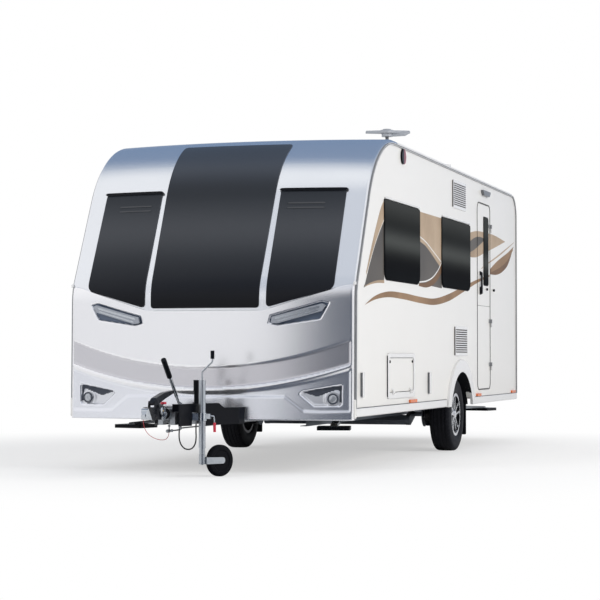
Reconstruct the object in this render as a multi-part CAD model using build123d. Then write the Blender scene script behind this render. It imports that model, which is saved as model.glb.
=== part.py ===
from build123d import *
import math
import os

os.makedirs("parts", exist_ok=True)

# Travel caravan, millimetres. +X is the door side, -Y is the towing direction, Z = 0 is the ground.
# The origin is on the ground, midway between the coupling's nose and the rear panel.

# ---- Driving dimensions -------------------------------------------------------------------
BODY_WIDTH = 2220.0         # over the side walls
BODY_LENGTH = 6280.0        # side wall, front edge at the skirt to the rear panel
HITCH_REACH = 1300.0        # coupling nose to the side wall's front edge
ROOF_Z = 2540.0             # roof's outer face
ROOF_FALL = 26.0            # how far the roof drops to the rear
BODY_BOTTOM = 405.0         # lower edge of the skirt
FRONT_BOTTOM = 385.0        # lower edge of the front moulding
WALL = 32.0                 # whole thickness of a wall, roof or door
FLOOR_THICK = 42.0
FLOOR_TOP = 532.0
EDGE_ROUND = 24.0           # rounding where the roof and front turn into the sides
FRONT_BOW = 135.0           # how far the front bows forward of its corners
KNEE_Z = 1350.0             # height where the front starts to lean back
KNEE_LEAN = 15.0            # lean of the lower front up to the knee
BROW_RUN = 590.0            # from the knee back to the roof's corner point
KNEE_RADIUS = 400.0
BROW_RADIUS = 850.0
REAR_RADIUS = 250.0
TYRE_RADIUS = 325.0
TYRE_WIDTH = 195.0
RIM_RADIUS = 190.0
AXLE_SETBACK = 3570.0       # wheel centre behind the side wall's front edge
WHEEL_INSET = 28.0          # tyre wall inside the side wall's face

# ---- Worked out from them -----------------------------------------------------------------
HALF = BODY_WIDTH / 2
Y_FRONT = (HITCH_REACH - BODY_LENGTH) / 2
Y_REAR = Y_FRONT + BODY_LENGTH
Y_NOSE = Y_FRONT - HITCH_REACH
FLOOR_BOTTOM = FLOOR_TOP - FLOOR_THICK
BOW_RADIUS = (HALF**2 + FRONT_BOW**2) / (2 * FRONT_BOW)
Y_PROW = Y_FRONT - FRONT_BOW            # front of the body on the centre line
Y_BOW_AXIS = Y_PROW + BOW_RADIUS        # vertical axis that the bowed front turns about
Y_BROW = Y_PROW + KNEE_LEAN + BROW_RUN
Y_STRAIGHT = Y_FRONT + 1500             # the bowed front ends, the straight body starts
Y_ROOF_JOINT = Y_FRONT + 1290           # front moulding meets the roof sheet
Y_REAR_JOINT = Y_REAR - REAR_RADIUS     # roof sheet meets the rear moulding
AXLE_Y = Y_FRONT + AXLE_SETBACK
WHEEL_X = HALF - WHEEL_INSET - TYRE_WIDTH / 2
SIDES = (("left", 1), ("right", -1))
SEAT_GAP = 0.3              # between a piece and the curved or moving seat that it lies on


# ---- Small helpers ------------------------------------------------------------------------
def block(x0, x1, y0, y1, z0, z1):
    """A plain box between two corners."""
    return Pos((x0 + x1) / 2, (y0 + y1) / 2, (z0 + z1) / 2) * Box(x1 - x0, y1 - y0, z1 - z0)


def outline(points, radius):
    """A closed outline with rounded corners. radius is one value, or one for each corner."""
    with BuildSketch() as sketch:
        with BuildLine():
            FilletPolyline(*points, radius=radius, close=True) if radius else Polyline(*points, close=True)
        make_face()
    return sketch.sketch


def plate_yz(points, x0, x1, radius=0):
    """An outline in (Y, Z), carried along X from x0 to x1."""
    return extrude(Plane.YZ.offset(x0) * outline(points, radius), x1 - x0)


def plate_xz(points, y0, y1, radius=0):
    """An outline in (X, Z), carried along Y from y0 to y1."""
    return extrude(Plane.XZ.offset(-y1) * outline(points, radius), y1 - y0)


def plate_xy(points, z0, z1, radius=0):
    """An outline in (X, Y), carried along Z from z0 to z1."""
    return extrude(Plane.XY.offset(z0) * outline(points, radius), z1 - z0)


def rectangle(a0, a1, b0, b1):
    """The four corners of an upright rectangle."""
    return [(a0, b0), (a1, b0), (a1, b1), (a0, b1)]


def rod(start, end, radius):
    """A round bar from one point to another."""
    a, b = Vector(*start), Vector(*end)
    return extrude(Plane(a, z_dir=(b - a).normalized()) * Circle(radius), (b - a).length)


def tube_along(points, radius, bends):
    """A round tube along straight runs joined by arcs."""
    with BuildLine() as path:
        FilletPolyline(*points, radius=bends)
    start = Plane(path.line @ 0, z_dir=path.line % 0)
    return sweep(start * Circle(radius), path=path.line)


def mirrored(part):
    """The same piece on the other side of the caravan."""
    return mirror(part, Plane.YZ)


def group(*parts):
    """Pieces of one node that don't touch."""
    return Compound(children=[solid for part in parts for solid in part.solids()])


def keep(name, part):
    export_step(part, f"parts/{name}.step")


# ---- Body surfaces ------------------------------------------------------------------------
def inset_path(points, inset):
    """The path's straight lines moved to the right of its travel by inset, met again at corners."""
    lines = []
    for (y0, z0), (y1, z1) in zip(points, points[1:]):
        length = math.hypot(y1 - y0, z1 - z0)
        uy, uz = (y1 - y0) / length, (z1 - z0) / length
        lines.append(((y0 + uz * inset, z0 - uy * inset), (uy, uz)))
    moved = [lines[0][0]]
    for ((py, pz), (uy, uz)), ((qy, qz), (vy, vz)) in zip(lines, lines[1:]):
        along = ((qy - py) * vz - (qz - pz) * vy) / (uy * vz - uz * vy)
        moved.append((py + along * uy, pz + along * uz))
    (qy, qz), (vy, vz) = lines[-1]
    last = math.hypot(points[-1][0] - points[-2][0], points[-1][1] - points[-2][1])
    moved.append((qy + vy * last, qz + vz * last))
    return moved


def bowed_front(inset, half_width, bottom):
    """The front and brow: one side profile turned about the bow's vertical axis."""
    p = inset_path([(Y_PROW, FRONT_BOTTOM), (Y_PROW + KNEE_LEAN, KNEE_Z), (Y_BROW, ROOF_Z),
                    (Y_BOW_AXIS, ROOF_Z)], inset)
    with BuildSketch(Plane.YZ) as profile:
        with BuildLine():
            FilletPolyline(p[0], p[1], p[2], (Y_BOW_AXIS, p[3][1]),
                           radius=[KNEE_RADIUS - inset, BROW_RADIUS - inset])
            Polyline((Y_BOW_AXIS, p[3][1]), (Y_BOW_AXIS, FRONT_BOTTOM), p[0])
        make_face()
    whole = revolve(profile.sketch, Axis((0, Y_BOW_AXIS, 0), (0, 0, 1)), revolution_arc=360)
    return whole & block(-half_width, half_width, Y_PROW - 200, Y_STRAIGHT, bottom, ROOF_Z + 100)


def straight_rear(inset, half_width, bottom):
    """The rest of the body, with its falling roof and rounded rear corner."""
    p = inset_path([(Y_STRAIGHT, ROOF_Z), (Y_REAR, ROOF_Z - ROOF_FALL), (Y_REAR, bottom)], inset)
    roof_z = ROOF_Z - inset
    with BuildSketch(Plane.YZ) as profile:
        with BuildLine():
            FilletPolyline((Y_STRAIGHT, roof_z), p[1], (p[2][0], bottom), radius=REAR_RADIUS - inset)
            Polyline((p[2][0], bottom), (Y_STRAIGHT, bottom), (Y_STRAIGHT, roof_z))
        make_face()
    return extrude(profile.sketch, half_width, both=True)


def body_form(inset, half_width=HALF, bottom=FRONT_BOTTOM):
    """The closed form of the body, every face moved in by inset."""
    return bowed_front(inset, half_width, bottom) + straight_rear(inset, half_width, bottom)


def rounded_body():
    """The body's outer form with its long side edges rounded."""
    form = body_form(0)
    edges = [e for e in form.edges() if abs(abs(e.center().X) - HALF) < 1
             and e.bounding_box().max.Z > FRONT_BOTTOM + 1]
    return fillet(edges, EDGE_ROUND)


outer_form = rounded_body()
inner_form = body_form(WALL, HALF + 50, FRONT_BOTTOM - 50)
hoop = outer_form - inner_form          # front, roof and rear in one band

# ---- Openings in the walls ----------------------------------------------------------------
# window: name, y0, y1, z0, z1 (outside of the pane)
SIDE_WINDOWS = (
    ("lounge", Y_FRONT + 860, Y_FRONT + 2000, 1440, 2052),
    ("galley", Y_FRONT + 2820, Y_FRONT + 3970, 1450, 2048),
)
WINDOW_LAP = 24.0           # how far a pane laps over its hole on every side
PANE = 11.0                 # pane's thickness, standing on the wall
PANE_ROUND = (80.0, 80.0, 22.0, 22.0)    # lower corners, upper corners

DOOR_Y0, DOOR_Y1 = Y_FRONT + 4320, Y_FRONT + 4910
DOOR_Z0, DOOR_Z1 = 536.0, 2296.0
DOOR_GAP = 6.0
DOOR_ROUND = 70.0
HINGE_OUT = 14.0            # door pins stand this far outside the wall
HINGE_Z = (750.0, 1165.0, 2080.0)
HINGE_HEIGHT = 76.0
HINGE_RADIUS = 9.0
PIN_RADIUS = 4.0
PIN_PLAY = 0.05

HATCH_Y0, HATCH_Y1 = Y_FRONT + 990, Y_FRONT + 1780
HATCH_Z0, HATCH_Z1 = 566.0, 838.0
HATCH_ROUND = 26.0
HATCH_GAP = 5.0
HATCH_FRAME = 45.0
HATCH_FRAME_OUT = 9.0

ARCH_RADIUS = 487.0
ARCH_CENTRE_Z = 219.0
SPAT_RADIUS = 600.0
SPAT_OUT = 22.0
WHEEL_BOX_WALL = 16.0
WHEEL_BOX_DEEP = 324.0

SKIRT_TOP = 470.0
SKIRT_OUT = 9.0


def arch_cut(radius, x0, x1):
    """A round prism about the arch's centre, for cuts over the wheel."""
    return Pos(x0, AXLE_Y, ARCH_CENTRE_Z) * extrude(Plane.YZ * Circle(radius), x1 - x0)


def side_wall(side):
    """A flat wall sheet between floor, front, roof and rear bands."""
    sheet = body_form(WALL, HALF, SKIRT_TOP) & block(HALF - WALL, HALF, Y_PROW, Y_REAR, SKIRT_TOP, ROOF_Z)
    for _, y0, y1, z0, z1 in SIDE_WINDOWS:
        hole = rectangle(y0 + WINDOW_LAP, y1 - WINDOW_LAP, z0 + WINDOW_LAP, z1 - WINDOW_LAP)
        sheet -= plate_yz(hole, HALF - 60, HALF + 20, 40)
    sheet -= arch_cut(ARCH_RADIUS, HALF - 60, HALF + 20)
    if side == "left":
        sheet -= plate_yz(rectangle(DOOR_Y0, DOOR_Y1, DOOR_Z0, DOOR_Z1), HALF - 60, HALF + 20, DOOR_ROUND)
        sheet -= plate_yz(rectangle(HATCH_Y0, HATCH_Y1, HATCH_Z0, HATCH_Z1), HALF - 60, HALF + 20, HATCH_ROUND)
    return sheet


keep("side_wall_left", side_wall("left"))
keep("side_wall_right", mirrored(side_wall("right")))

# ---- Front: one lower and one upper moulding, split along the windows' lower edges ------------
JOINT_CENTRE_Z = 1185.0
JOINT_SIDE_Z = 1378.0
FRONT_PANE = 9.0
FRONT_LAP = 26.0
NOTCH_HALF = 300.0          # gap in the lower edge for the drawbar
NOTCH_TOP = 474.0
FRONT_SHARE = HALF / 1110   # outlines on the front keep their share of its width


def across_front(*points):
    """Points (X, Z) on the front, X drawn for a body 2220 wide."""
    return [(x * FRONT_SHARE, z) for x, z in points]


CENTRE_WINDOW = across_front((-420, 1202), (420, 1202), (440, 2478), (-440, 2478))
OUTER_WINDOW = across_front((475, 1204), (965, 1342), (960, 2092), (475, 2092))


def shell(inset_out, inset_in):
    """The band between two offsets of the bowed front."""
    return (bowed_front(inset_out, HALF + 60, FRONT_BOTTOM - 100)
            - bowed_front(inset_in, HALF + 80, FRONT_BOTTOM - 200))


def smile(z, radius, x):
    """Height at x of an arc that is lowest, z, on the centre line and rises to both sides."""
    return z + radius - math.sqrt(radius**2 - x**2)


def smile_zone(low, top):
    """The space in front of the body between two rising arcs, each given as (z, radius)."""
    w = HALF + 50
    with BuildSketch(Plane.XZ.offset(-Y_FRONT - 400)) as sketch:
        with BuildLine():
            ends = []
            for z, radius in (low, top):
                rise = smile(z, radius, w)
                ThreePointArc((-w, rise), (0, z), (w, rise))
                ends.append(rise)
            Line((w, ends[0]), (w, ends[1]))
            Line((-w, ends[0]), (-w, ends[1]))
        make_face()
    return extrude(sketch.sketch, 700)


def front_pocket(points, deep, rounding):
    """A pocket sunk into the front, its floor following the bow; and the same on the other side."""
    prism = plate_xz(points, Y_PROW - 100, Y_FRONT + 400, rounding)
    cut = prism & shell(-30, deep)
    return cut + mirrored(cut)


def lower_front_zone():
    """Everything below the joint between the two front mouldings."""
    w = HALF + 50
    joint = across_front((1030, JOINT_SIDE_Z - 14), (450, JOINT_CENTRE_Z), (-450, JOINT_CENTRE_Z),
                         (-1030, JOINT_SIDE_Z - 14))
    return plate_xz([(-w, 0), (w, 0), (w, JOINT_SIDE_Z), *joint, (-w, JOINT_SIDE_Z)], Y_PROW - 100, Y_FRONT + 400)


def shrunk(points, lap):
    """A window's outline moved in by lap (its corners stay near square)."""
    cx = sum(p[0] for p in points) / len(points)
    cz = sum(p[1] for p in points) / len(points)
    return [(x - math.copysign(lap, x - cx), z - math.copysign(lap, z - cz)) for x, z in points]


front_band = hoop & block(-HALF - 10, HALF + 10, Y_PROW - 100, Y_ROOF_JOINT, 0, ROOF_Z + 50)
front_lower = front_band & lower_front_zone()
front_lower -= block(-NOTCH_HALF, NOTCH_HALF, Y_PROW - 50, Y_FRONT + 100, 0, NOTCH_TOP)
front_upper = front_band - lower_front_zone()
window_depth = (Y_PROW - 100, Y_FRONT + 1100)
front_holes = [plate_xz(shrunk(CENTRE_WINDOW, FRONT_LAP), *window_depth, 30),
               plate_xz(shrunk(OUTER_WINDOW, FRONT_LAP), *window_depth, 30)]
front_holes.append(mirrored(front_holes[1]))
for hole in front_holes:
    front_lower -= hole
    front_upper -= hole
BAND_TOP = (768.0, 3100.0)      # sunk band's upper edge: height on the centre line, arc radius
RIDGE_TOP = (618.0, 3500.0)     # standing ridge between the band and the lower step
RIDGE_LOW = (581.0, 3400.0)
BAND_DEEP = 9.0
STEP_DEEP = 7.0
POD_DEEP = 25.0
GRIP_DEEP = 20.0
step_line = [(-HALF - 60, 900), (-HALF - 60, 452),
             *across_front((-880, 446), (-750, 452), (-610, 556), (610, 556), (750, 452), (880, 446)),
             (HALF + 60, 452), (HALF + 60, 900)]
STEP_ROUNDING = (0, 0, 200, 60, 60, 60, 60, 200, 0, 0)
POD = across_front((1024, 642), (742, 596), (720, 574), (822, 488), (1004, 488), (1020, 504))
GRIP_POCKET = across_front((494, 1092), (508, 1146), (880, 1246), (930, 1236), (866, 1120), (560, 1076))
GRIP_BAR = across_front((512, 1092), (520, 1136), (884, 1232), (908, 1218), (880, 1176), (560, 1088))
GRIP_HAND = (566.0 * FRONT_SHARE, 844.0 * FRONT_SHARE)      # hand room behind the bar
band = smile_zone(RIDGE_TOP, BAND_TOP) & shell(-30, BAND_DEEP)
below_ridge = plate_xz(step_line, Y_PROW - 100, Y_FRONT + 400) & smile_zone((-200.0, 3400.0), RIDGE_LOW)
sunk_half = HALF - EDGE_ROUND - 3       # the sunk faces end where the corner's rounding starts
sunk_room = block(-sunk_half, sunk_half, Y_PROW - 100, Y_FRONT + 400, 0, KNEE_Z)
front_lower -= (band + (below_ridge & shell(-30, STEP_DEEP))) & sunk_room
front_lower -= front_pocket(POD, POD_DEEP, (10, 30, 10, 16, 16, 8))
front_lower -= front_pocket(GRIP_POCKET, GRIP_DEEP, (10, 20, 20, 14, 24, 60))
keep("front_lower_panel", front_lower)

LAMP_X, LAMP_Z = 955.0 * FRONT_SHARE, 540.0
LAMP_RADIUS = 40.0
lamp_turn = math.degrees(math.asin(LAMP_X / BOW_RADIUS))
lamp_face = Y_BOW_AXIS - math.sqrt((BOW_RADIUS - POD_DEEP) ** 2 - LAMP_X**2)
lamp = Pos(LAMP_X, lamp_face, LAMP_Z) * Rot(0, 0, lamp_turn) * extrude(Plane.XZ.offset(-30) * Circle(LAMP_RADIUS), 48)
lamp -= bowed_front(POD_DEEP, HALF + 60, 0)
keep("front_lamps", group(lamp, mirrored(lamp)))
grip_zone = plate_xz(GRIP_BAR, Y_PROW - 100, Y_FRONT + 400, (10, 10, 12, 6, 12, 40))
grip = grip_zone & shell(-14, GRIP_DEEP)
grip -= block(*GRIP_HAND, Y_PROW - 100, Y_FRONT + 400, 1000, 1300) & shell(0, GRIP_DEEP + 10)
keep("front_upper_panel", front_upper)

pane_shell = shell(-FRONT_PANE, 0)
centre_pane = pane_shell & plate_xz(CENTRE_WINDOW, *window_depth, 24)
outer_pane = pane_shell & plate_xz(OUTER_WINDOW, *window_depth, (24, 60, 24, 24))
keep("front_windows", group(centre_pane, outer_pane, mirrored(outer_pane)))

# ---- Roof, rear and floor --------------------------------------------------------------------
# rooflight: name, centre Y, length, width
ROOFLIGHTS = (("front", Y_FRONT + 1900, 700.0, 520.0), ("rear", Y_FRONT + 4300, 420.0, 420.0))
CURB = 30.0                 # width of a rooflight's curb
roof = hoop & block(-HALF - 10, HALF + 10, Y_ROOF_JOINT, Y_REAR_JOINT, 1500, ROOF_Z + 50)
for _, y, long, wide in ROOFLIGHTS:
    roof -= block(CURB - wide / 2, wide / 2 - CURB, y - long / 2 + CURB, y + long / 2 - CURB, 2400, ROOF_Z + 50)
keep("roof_panel", roof)
keep("rear_panel", hoop & block(-HALF - 10, HALF + 10, Y_REAR_JOINT, Y_REAR + 50, BODY_BOTTOM, ROOF_Z + 50))


def wheel_box():
    """Housing over the wheel: a half-round barrel, closed on its inner side."""
    x1, x0 = HALF - WALL, HALF - WALL - WHEEL_BOX_DEEP
    barrel = arch_cut(ARCH_RADIUS + WHEEL_BOX_WALL, x0, x1) - arch_cut(ARCH_RADIUS, x0 + WHEEL_BOX_WALL, x1 + 5)
    return barrel & block(x0, x1, AXLE_Y - 700, AXLE_Y + 700, BODY_BOTTOM, 900)


def floor():
    inner = body_form(WALL, HALF - WALL, FLOOR_BOTTOM)
    sheet = inner & block(-HALF, HALF, Y_PROW, Y_REAR, FLOOR_BOTTOM, FLOOR_TOP)
    cut = arch_cut(ARCH_RADIUS + WHEEL_BOX_WALL, HALF - WALL - WHEEL_BOX_DEEP, HALF)
    return sheet - cut - mirrored(cut)


keep("floor_panel", floor())

# ---- Skirts, spats, awning rails ---------------------------------------------------------------


def spat():
    """Moulded surround over the wheel opening, ending at the skirt's lower edge."""
    ring = arch_cut(SPAT_RADIUS, HALF, HALF + SPAT_OUT) - arch_cut(ARCH_RADIUS, HALF - 5, HALF + SPAT_OUT + 5)
    return ring & block(HALF, HALF + SPAT_OUT, AXLE_Y - 700, AXLE_Y + 700, BODY_BOTTOM, 900)


def skirt(y0, y1):
    """Rounded sill rail under the wall."""
    section = [(HALF - WALL, BODY_BOTTOM), (HALF + SKIRT_OUT, BODY_BOTTOM), (HALF + SKIRT_OUT, SKIRT_TOP),
               (HALF - WALL, SKIRT_TOP)]
    return plate_xz(section, y0, y1, (6, 14, 6, 6))


def awning_rail():
    """Grooved rail on the wall along the front, roof and rear joint."""
    band = body_form(WALL - 8, HALF + 11, SKIRT_TOP) - body_form(WALL + 8, HALF + 40, SKIRT_TOP - 20)
    groove = body_form(WALL - 3, HALF + 40, SKIRT_TOP - 20) - body_form(WALL + 3, HALF + 60, SKIRT_TOP - 40)
    slab = block(HALF, HALF + 11, Y_PROW, Y_REAR + 10, SKIRT_TOP, ROOF_Z + 10)
    return (band & slab) - (groove & block(HALF + 4, HALF + 20, Y_PROW, Y_REAR + 10, 0, ROOF_Z + 10))


skirts = [skirt(Y_FRONT + WALL + 6, AXLE_Y - 575), skirt(AXLE_Y + 575, Y_REAR - WALL)]
keep("skirt_rails", group(*skirts, *[mirrored(s) for s in skirts]))
keep("wheel_spats", group(spat(), mirrored(spat())))
keep("awning_rails", group(awning_rail(), mirrored(awning_rail())))

# ---- Side windows, vents and lamps on the walls -----------------------------------------------


def side_pane(y0, y1, z0, z1):
    """A raised acrylic pane lying on the wall over its hole."""
    return plate_yz(rectangle(y0, y1, z0, z1), HALF, HALF + PANE, PANE_ROUND)


panes = [side_pane(*window[1:]) for window in SIDE_WINDOWS]
keep("side_windows", group(*panes, *[mirrored(pane) for pane in panes]))

# vent: y0, y1, z0, z1, number of slots
VENTS = ((Y_FRONT + 3260, Y_FRONT + 3790, 2167, 2417, 11),
         (Y_FRONT + 3330, Y_FRONT + 3840, 853, 1115, 11))
VENT_OUT = 10.0
VENT_EDGE = 22.0
SLOT_DEEP = 7.0


def vent(y0, y1, z0, z1, slots):
    """Fridge vent: a flat grille with a row of level slots, sloped so that rain runs out."""
    grille = plate_yz(rectangle(y0, y1, z0, z1), HALF, HALF + VENT_OUT, 8)
    pitch = (z1 - z0 - 2 * VENT_EDGE) / slots
    face = HALF + VENT_OUT
    for n in range(slots):
        z = z0 + VENT_EDGE + pitch * (n + 0.5)
        slot = [(face - SLOT_DEEP, z - 0.1 * pitch), (face + 5, z - 0.36 * pitch), (face + 5, z + 0.24 * pitch),
                (face - SLOT_DEEP, z + 0.3 * pitch)]
        grille -= plate_xz(slot, y0 + VENT_EDGE, y1 - VENT_EDGE)
    return grille


keep("vent_grilles", group(*[vent(*row) for row in VENTS]))

# marker lamp: y0, y1 along the skirt line, both sides
MARKERS = ((Y_FRONT + 1650, Y_FRONT + 1880), (Y_FRONT + 4260, Y_FRONT + 4440), (Y_FRONT + 5970, Y_FRONT + 6160))
MARKER_Z0, MARKER_Z1 = 474.0, 500.0
MARKER_OUT = 14.0
markers = [plate_yz(rectangle(y0, y1, MARKER_Z0, MARKER_Z1), HALF, HALF + MARKER_OUT, 6) for y0, y1 in MARKERS]


def oval(y, z, wide, high, x0, x1):
    """An upright oval boss on the wall."""
    return extrude(Plane.YZ.offset(x0) * Pos(y, z) * Ellipse(wide / 2, high / 2), x1 - x0)


OUTLINE_LAMP = (Y_FRONT + 1445, 2436)
wall_lamps = markers + [oval(*OUTLINE_LAMP, 130, 122, HALF, HALF + 16)]
keep("marker_lamps", group(*wall_lamps, *[mirrored(lamp) for lamp in wall_lamps]))

AWNING_LAMP = [(Y_FRONT + 4480, 2424), (Y_FRONT + 4545, 2376), (Y_FRONT + 4790, 2376), (Y_FRONT + 4855, 2424)]
awning_lamp = plate_yz(AWNING_LAMP, HALF, HALF + 26, (8, 20, 20, 8))

# moulding: y0, y1, z0, z1
SIDE_MOULDINGS = ((Y_FRONT + 175, Y_FRONT + 235, 548, 734), (Y_FRONT + 2300, Y_FRONT + 2360, 532, 718))
mouldings = [plate_yz(rectangle(*row), HALF, HALF + 18, 12) for row in SIDE_MOULDINGS]
keep("wall_fittings", group(awning_lamp, *mouldings))

# ---- Entrance door --------------------------------------------------------------------------
HINGE_X = HALF + HINGE_OUT
HINGE_Y = DOOR_Y1
LEAF = 4.0
DOOR_PANE = (DOOR_Y0 + 290, DOOR_Y0 + 495, 1527, 2172)
HANDLE_Y = DOOR_Y0 + 130
HANDLE_Z0, HANDLE_Z1 = 1426.0, 1652.0


def hinge_half(z, fixed):
    """Lower half on the wall with the pin, upper half on the door with the bore."""
    half_height = HINGE_HEIGHT / 2 - 0.5
    z0 = z - HINGE_HEIGHT / 2 if fixed else z + 0.5
    z1 = z0 + half_height
    sign = 1 if fixed else -1
    far, near = HINGE_Y + sign * 52, HINGE_Y + sign * (DOOR_GAP + 2)
    leaf = block(HALF, HALF + LEAF, min(far, near), max(far, near), z0, z1)
    arm_end = HINGE_Y + sign * (HINGE_RADIUS - 2)
    arm = block(HALF + 0.5, HALF + LEAF + 6, min(near + sign * 6, arm_end), max(near + sign * 6, arm_end), z0, z1)
    link = block(HALF + LEAF, HINGE_X + 4, min(arm_end, near + sign * 2), max(arm_end, near + sign * 2), z0, z1)
    bore = Pos(HINGE_X, HINGE_Y, z0 - 1) * extrude(Circle(PIN_RADIUS + PIN_PLAY), z1 - z0 + 2)
    knuckle = Pos(HINGE_X, HINGE_Y, z0) * extrude(Circle(HINGE_RADIUS), z1 - z0)
    piece = knuckle + leaf + arm + link
    if fixed:
        return piece + Pos(HINGE_X, HINGE_Y, z0) * extrude(Circle(PIN_RADIUS), HINGE_HEIGHT)
    return piece - bore


def door_leaf():
    leaf = plate_yz(rectangle(DOOR_Y0 + DOOR_GAP, DOOR_Y1 - DOOR_GAP, DOOR_Z0 + DOOR_GAP, DOOR_Z1 - DOOR_GAP),
                    HALF - WALL, HALF, DOOR_ROUND - DOOR_GAP)
    y0, y1, z0, z1 = DOOR_PANE
    hole = rectangle(y0 + WINDOW_LAP, y1 - WINDOW_LAP, z0 + WINDOW_LAP, z1 - WINDOW_LAP)
    return leaf - plate_yz(hole, HALF - 60, HALF + 20, 20)


def door_handle():
    """Upright pull: a bar standing off the door on its two ends."""
    side = [(HALF, HANDLE_Z0), (HALF + 24, HANDLE_Z0 + 14), (HALF + 24, HANDLE_Z1 - 14), (HALF, HANDLE_Z1)]
    grip = plate_xz(side, HANDLE_Y - 19, HANDLE_Y + 19, (2, 12, 12, 2))
    hand_room = plate_xz([(HALF - 1, HANDLE_Z0 + 70), (HALF + 12, HANDLE_Z0 + 80), (HALF + 12, HANDLE_Z1 - 45),
                          (HALF - 1, HANDLE_Z1 - 35)], HANDLE_Y - 30, HANDLE_Y + 30)
    return grip - hand_room


keep("entrance_door", door_leaf())
keep("door_window", plate_yz(rectangle(*DOOR_PANE), HALF, HALF + 8, 18))

CATCH_Z = 1488.0
CATCH_REACH = 156.0         # door stud and wall catch stand this far either side of the pin line
door_stud = Pos(HALF, HINGE_Y - CATCH_REACH, CATCH_Z) * extrude(Plane.YZ * Circle(12), 14)
wall_catch = Pos(HALF, HINGE_Y + CATCH_REACH, CATCH_Z) * extrude(Plane.YZ * Circle(12), 18)
keep("door_fittings", group(door_handle(), door_stud, *[hinge_half(z, False) for z in HINGE_Z]))
keep("door_hinge_pins", group(wall_catch, *[hinge_half(z, True) for z in HINGE_Z]))

# ---- Locker hatch -----------------------------------------------------------------------------
HATCH_PIN_X = HALF + 16
HATCH_PIN_Z = HATCH_Z0
hatch_outer = rectangle(HATCH_Y0 - HATCH_FRAME, HATCH_Y1 + HATCH_FRAME, HATCH_Z0 - HATCH_FRAME, HATCH_Z1 + 30)
hatch_hole = rectangle(HATCH_Y0, HATCH_Y1, HATCH_Z0, HATCH_Z1)
hatch_frame = (plate_yz(hatch_outer, HALF, HALF + HATCH_FRAME_OUT, 30)
               - plate_yz(hatch_hole, HALF - 5, HALF + 30, HATCH_ROUND))
hatch_door = plate_yz(rectangle(HATCH_Y0 + HATCH_GAP, HATCH_Y1 - HATCH_GAP, HATCH_Z0 + HATCH_GAP,
                                HATCH_Z1 - HATCH_GAP), HALF - WALL, HALF + 2, HATCH_ROUND - HATCH_GAP)
HATCH_PIN = 3.0
LUG_WIDE = 34.0
LUG_RADIUS = 6.2
for y in (HATCH_Y0 + 90, HATCH_Y1 - 90 - LUG_WIDE):
    lug = plate_xz([(HALF + 1, HATCH_PIN_Z + 34), (HALF + 1, HATCH_PIN_Z + 14), (HATCH_PIN_X - 5, HATCH_PIN_Z + 2),
                    (HATCH_PIN_X + 5.5, HATCH_PIN_Z), (HATCH_PIN_X + 5.5, HATCH_PIN_Z + 6)], y, y + LUG_WIDE)
    lug += Pos(HATCH_PIN_X, y, HATCH_PIN_Z) * extrude(Plane.XZ * Circle(LUG_RADIUS), -LUG_WIDE)
    bore = Pos(HATCH_PIN_X, y - 20, HATCH_PIN_Z) * extrude(Plane.XZ * Circle(HATCH_PIN + PIN_PLAY), -LUG_WIDE - 40)
    hatch_door = hatch_door + lug - bore
    for y0 in (y - 11, y + LUG_WIDE + 1):
        hatch_frame += block(HALF + 5, HATCH_PIN_X + 5, y0, y0 + 10, HATCH_PIN_Z - 12, HATCH_PIN_Z - 1)
        hatch_frame += block(HATCH_PIN_X - 5, HATCH_PIN_X + 5, y0, y0 + 10, HATCH_PIN_Z - 12, HATCH_PIN_Z + 5)
    hatch_frame += Pos(HATCH_PIN_X, y - 11, HATCH_PIN_Z) * extrude(Plane.XZ * Circle(HATCH_PIN), -LUG_WIDE - 22)
keep("hatch_frame", hatch_frame)
keep("locker_hatch", hatch_door)

# ---- Chassis ----------------------------------------------------------------------------------
RAIL_X = 600.0
RAIL_HIGH = 170.0
RAIL_FLANGE = 50.0
RAIL_WEB = 5.0
LEG_FRONT = (44.0, Y_NOSE + 430)        # centre of the drawbar leg's front end, X and Y
LEG_REAR = (RAIL_X - 40, Y_FRONT + 900)
LEG_Z0, LEG_Z1 = 372.0, 456.0
LEG_WIDE = 36.0


def rail():
    """Pressed channel under the floor, open inwards, with round lightening holes in its web."""
    z0, z1 = FLOOR_BOTTOM - RAIL_HIGH, FLOOR_BOTTOM
    y0, y1 = Y_FRONT + 500, Y_REAR - 150
    x = RAIL_X
    section = [(x, z0), (x, z1), (x - RAIL_FLANGE, z1), (x - RAIL_FLANGE, z1 - RAIL_WEB),
               (x - RAIL_WEB, z1 - RAIL_WEB), (x - RAIL_WEB, z0 + RAIL_WEB), (x - RAIL_FLANGE, z0 + RAIL_WEB),
               (x - RAIL_FLANGE, z0)]
    beam = plate_xz(section, y0, y1)
    for y in [Y_FRONT + 1500 + 420 * n for n in range(10)]:
        if abs(y - AXLE_Y) > 300:
            beam -= Pos(x - 20, y, (z0 + z1) / 2) * extrude(Plane.YZ * Circle(46), 40)
    return beam


def drawbar_leg():
    """Box leg running in from the rail to the coupling."""
    (x0, y0), (x1, y1) = LEG_FRONT, LEG_REAR
    w = LEG_WIDE / 2
    return plate_xy([(x0 - w, y0), (x0 + w, y0), (x1 + w, y1), (x1 - w, y1)], LEG_Z0, LEG_Z1)


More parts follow.
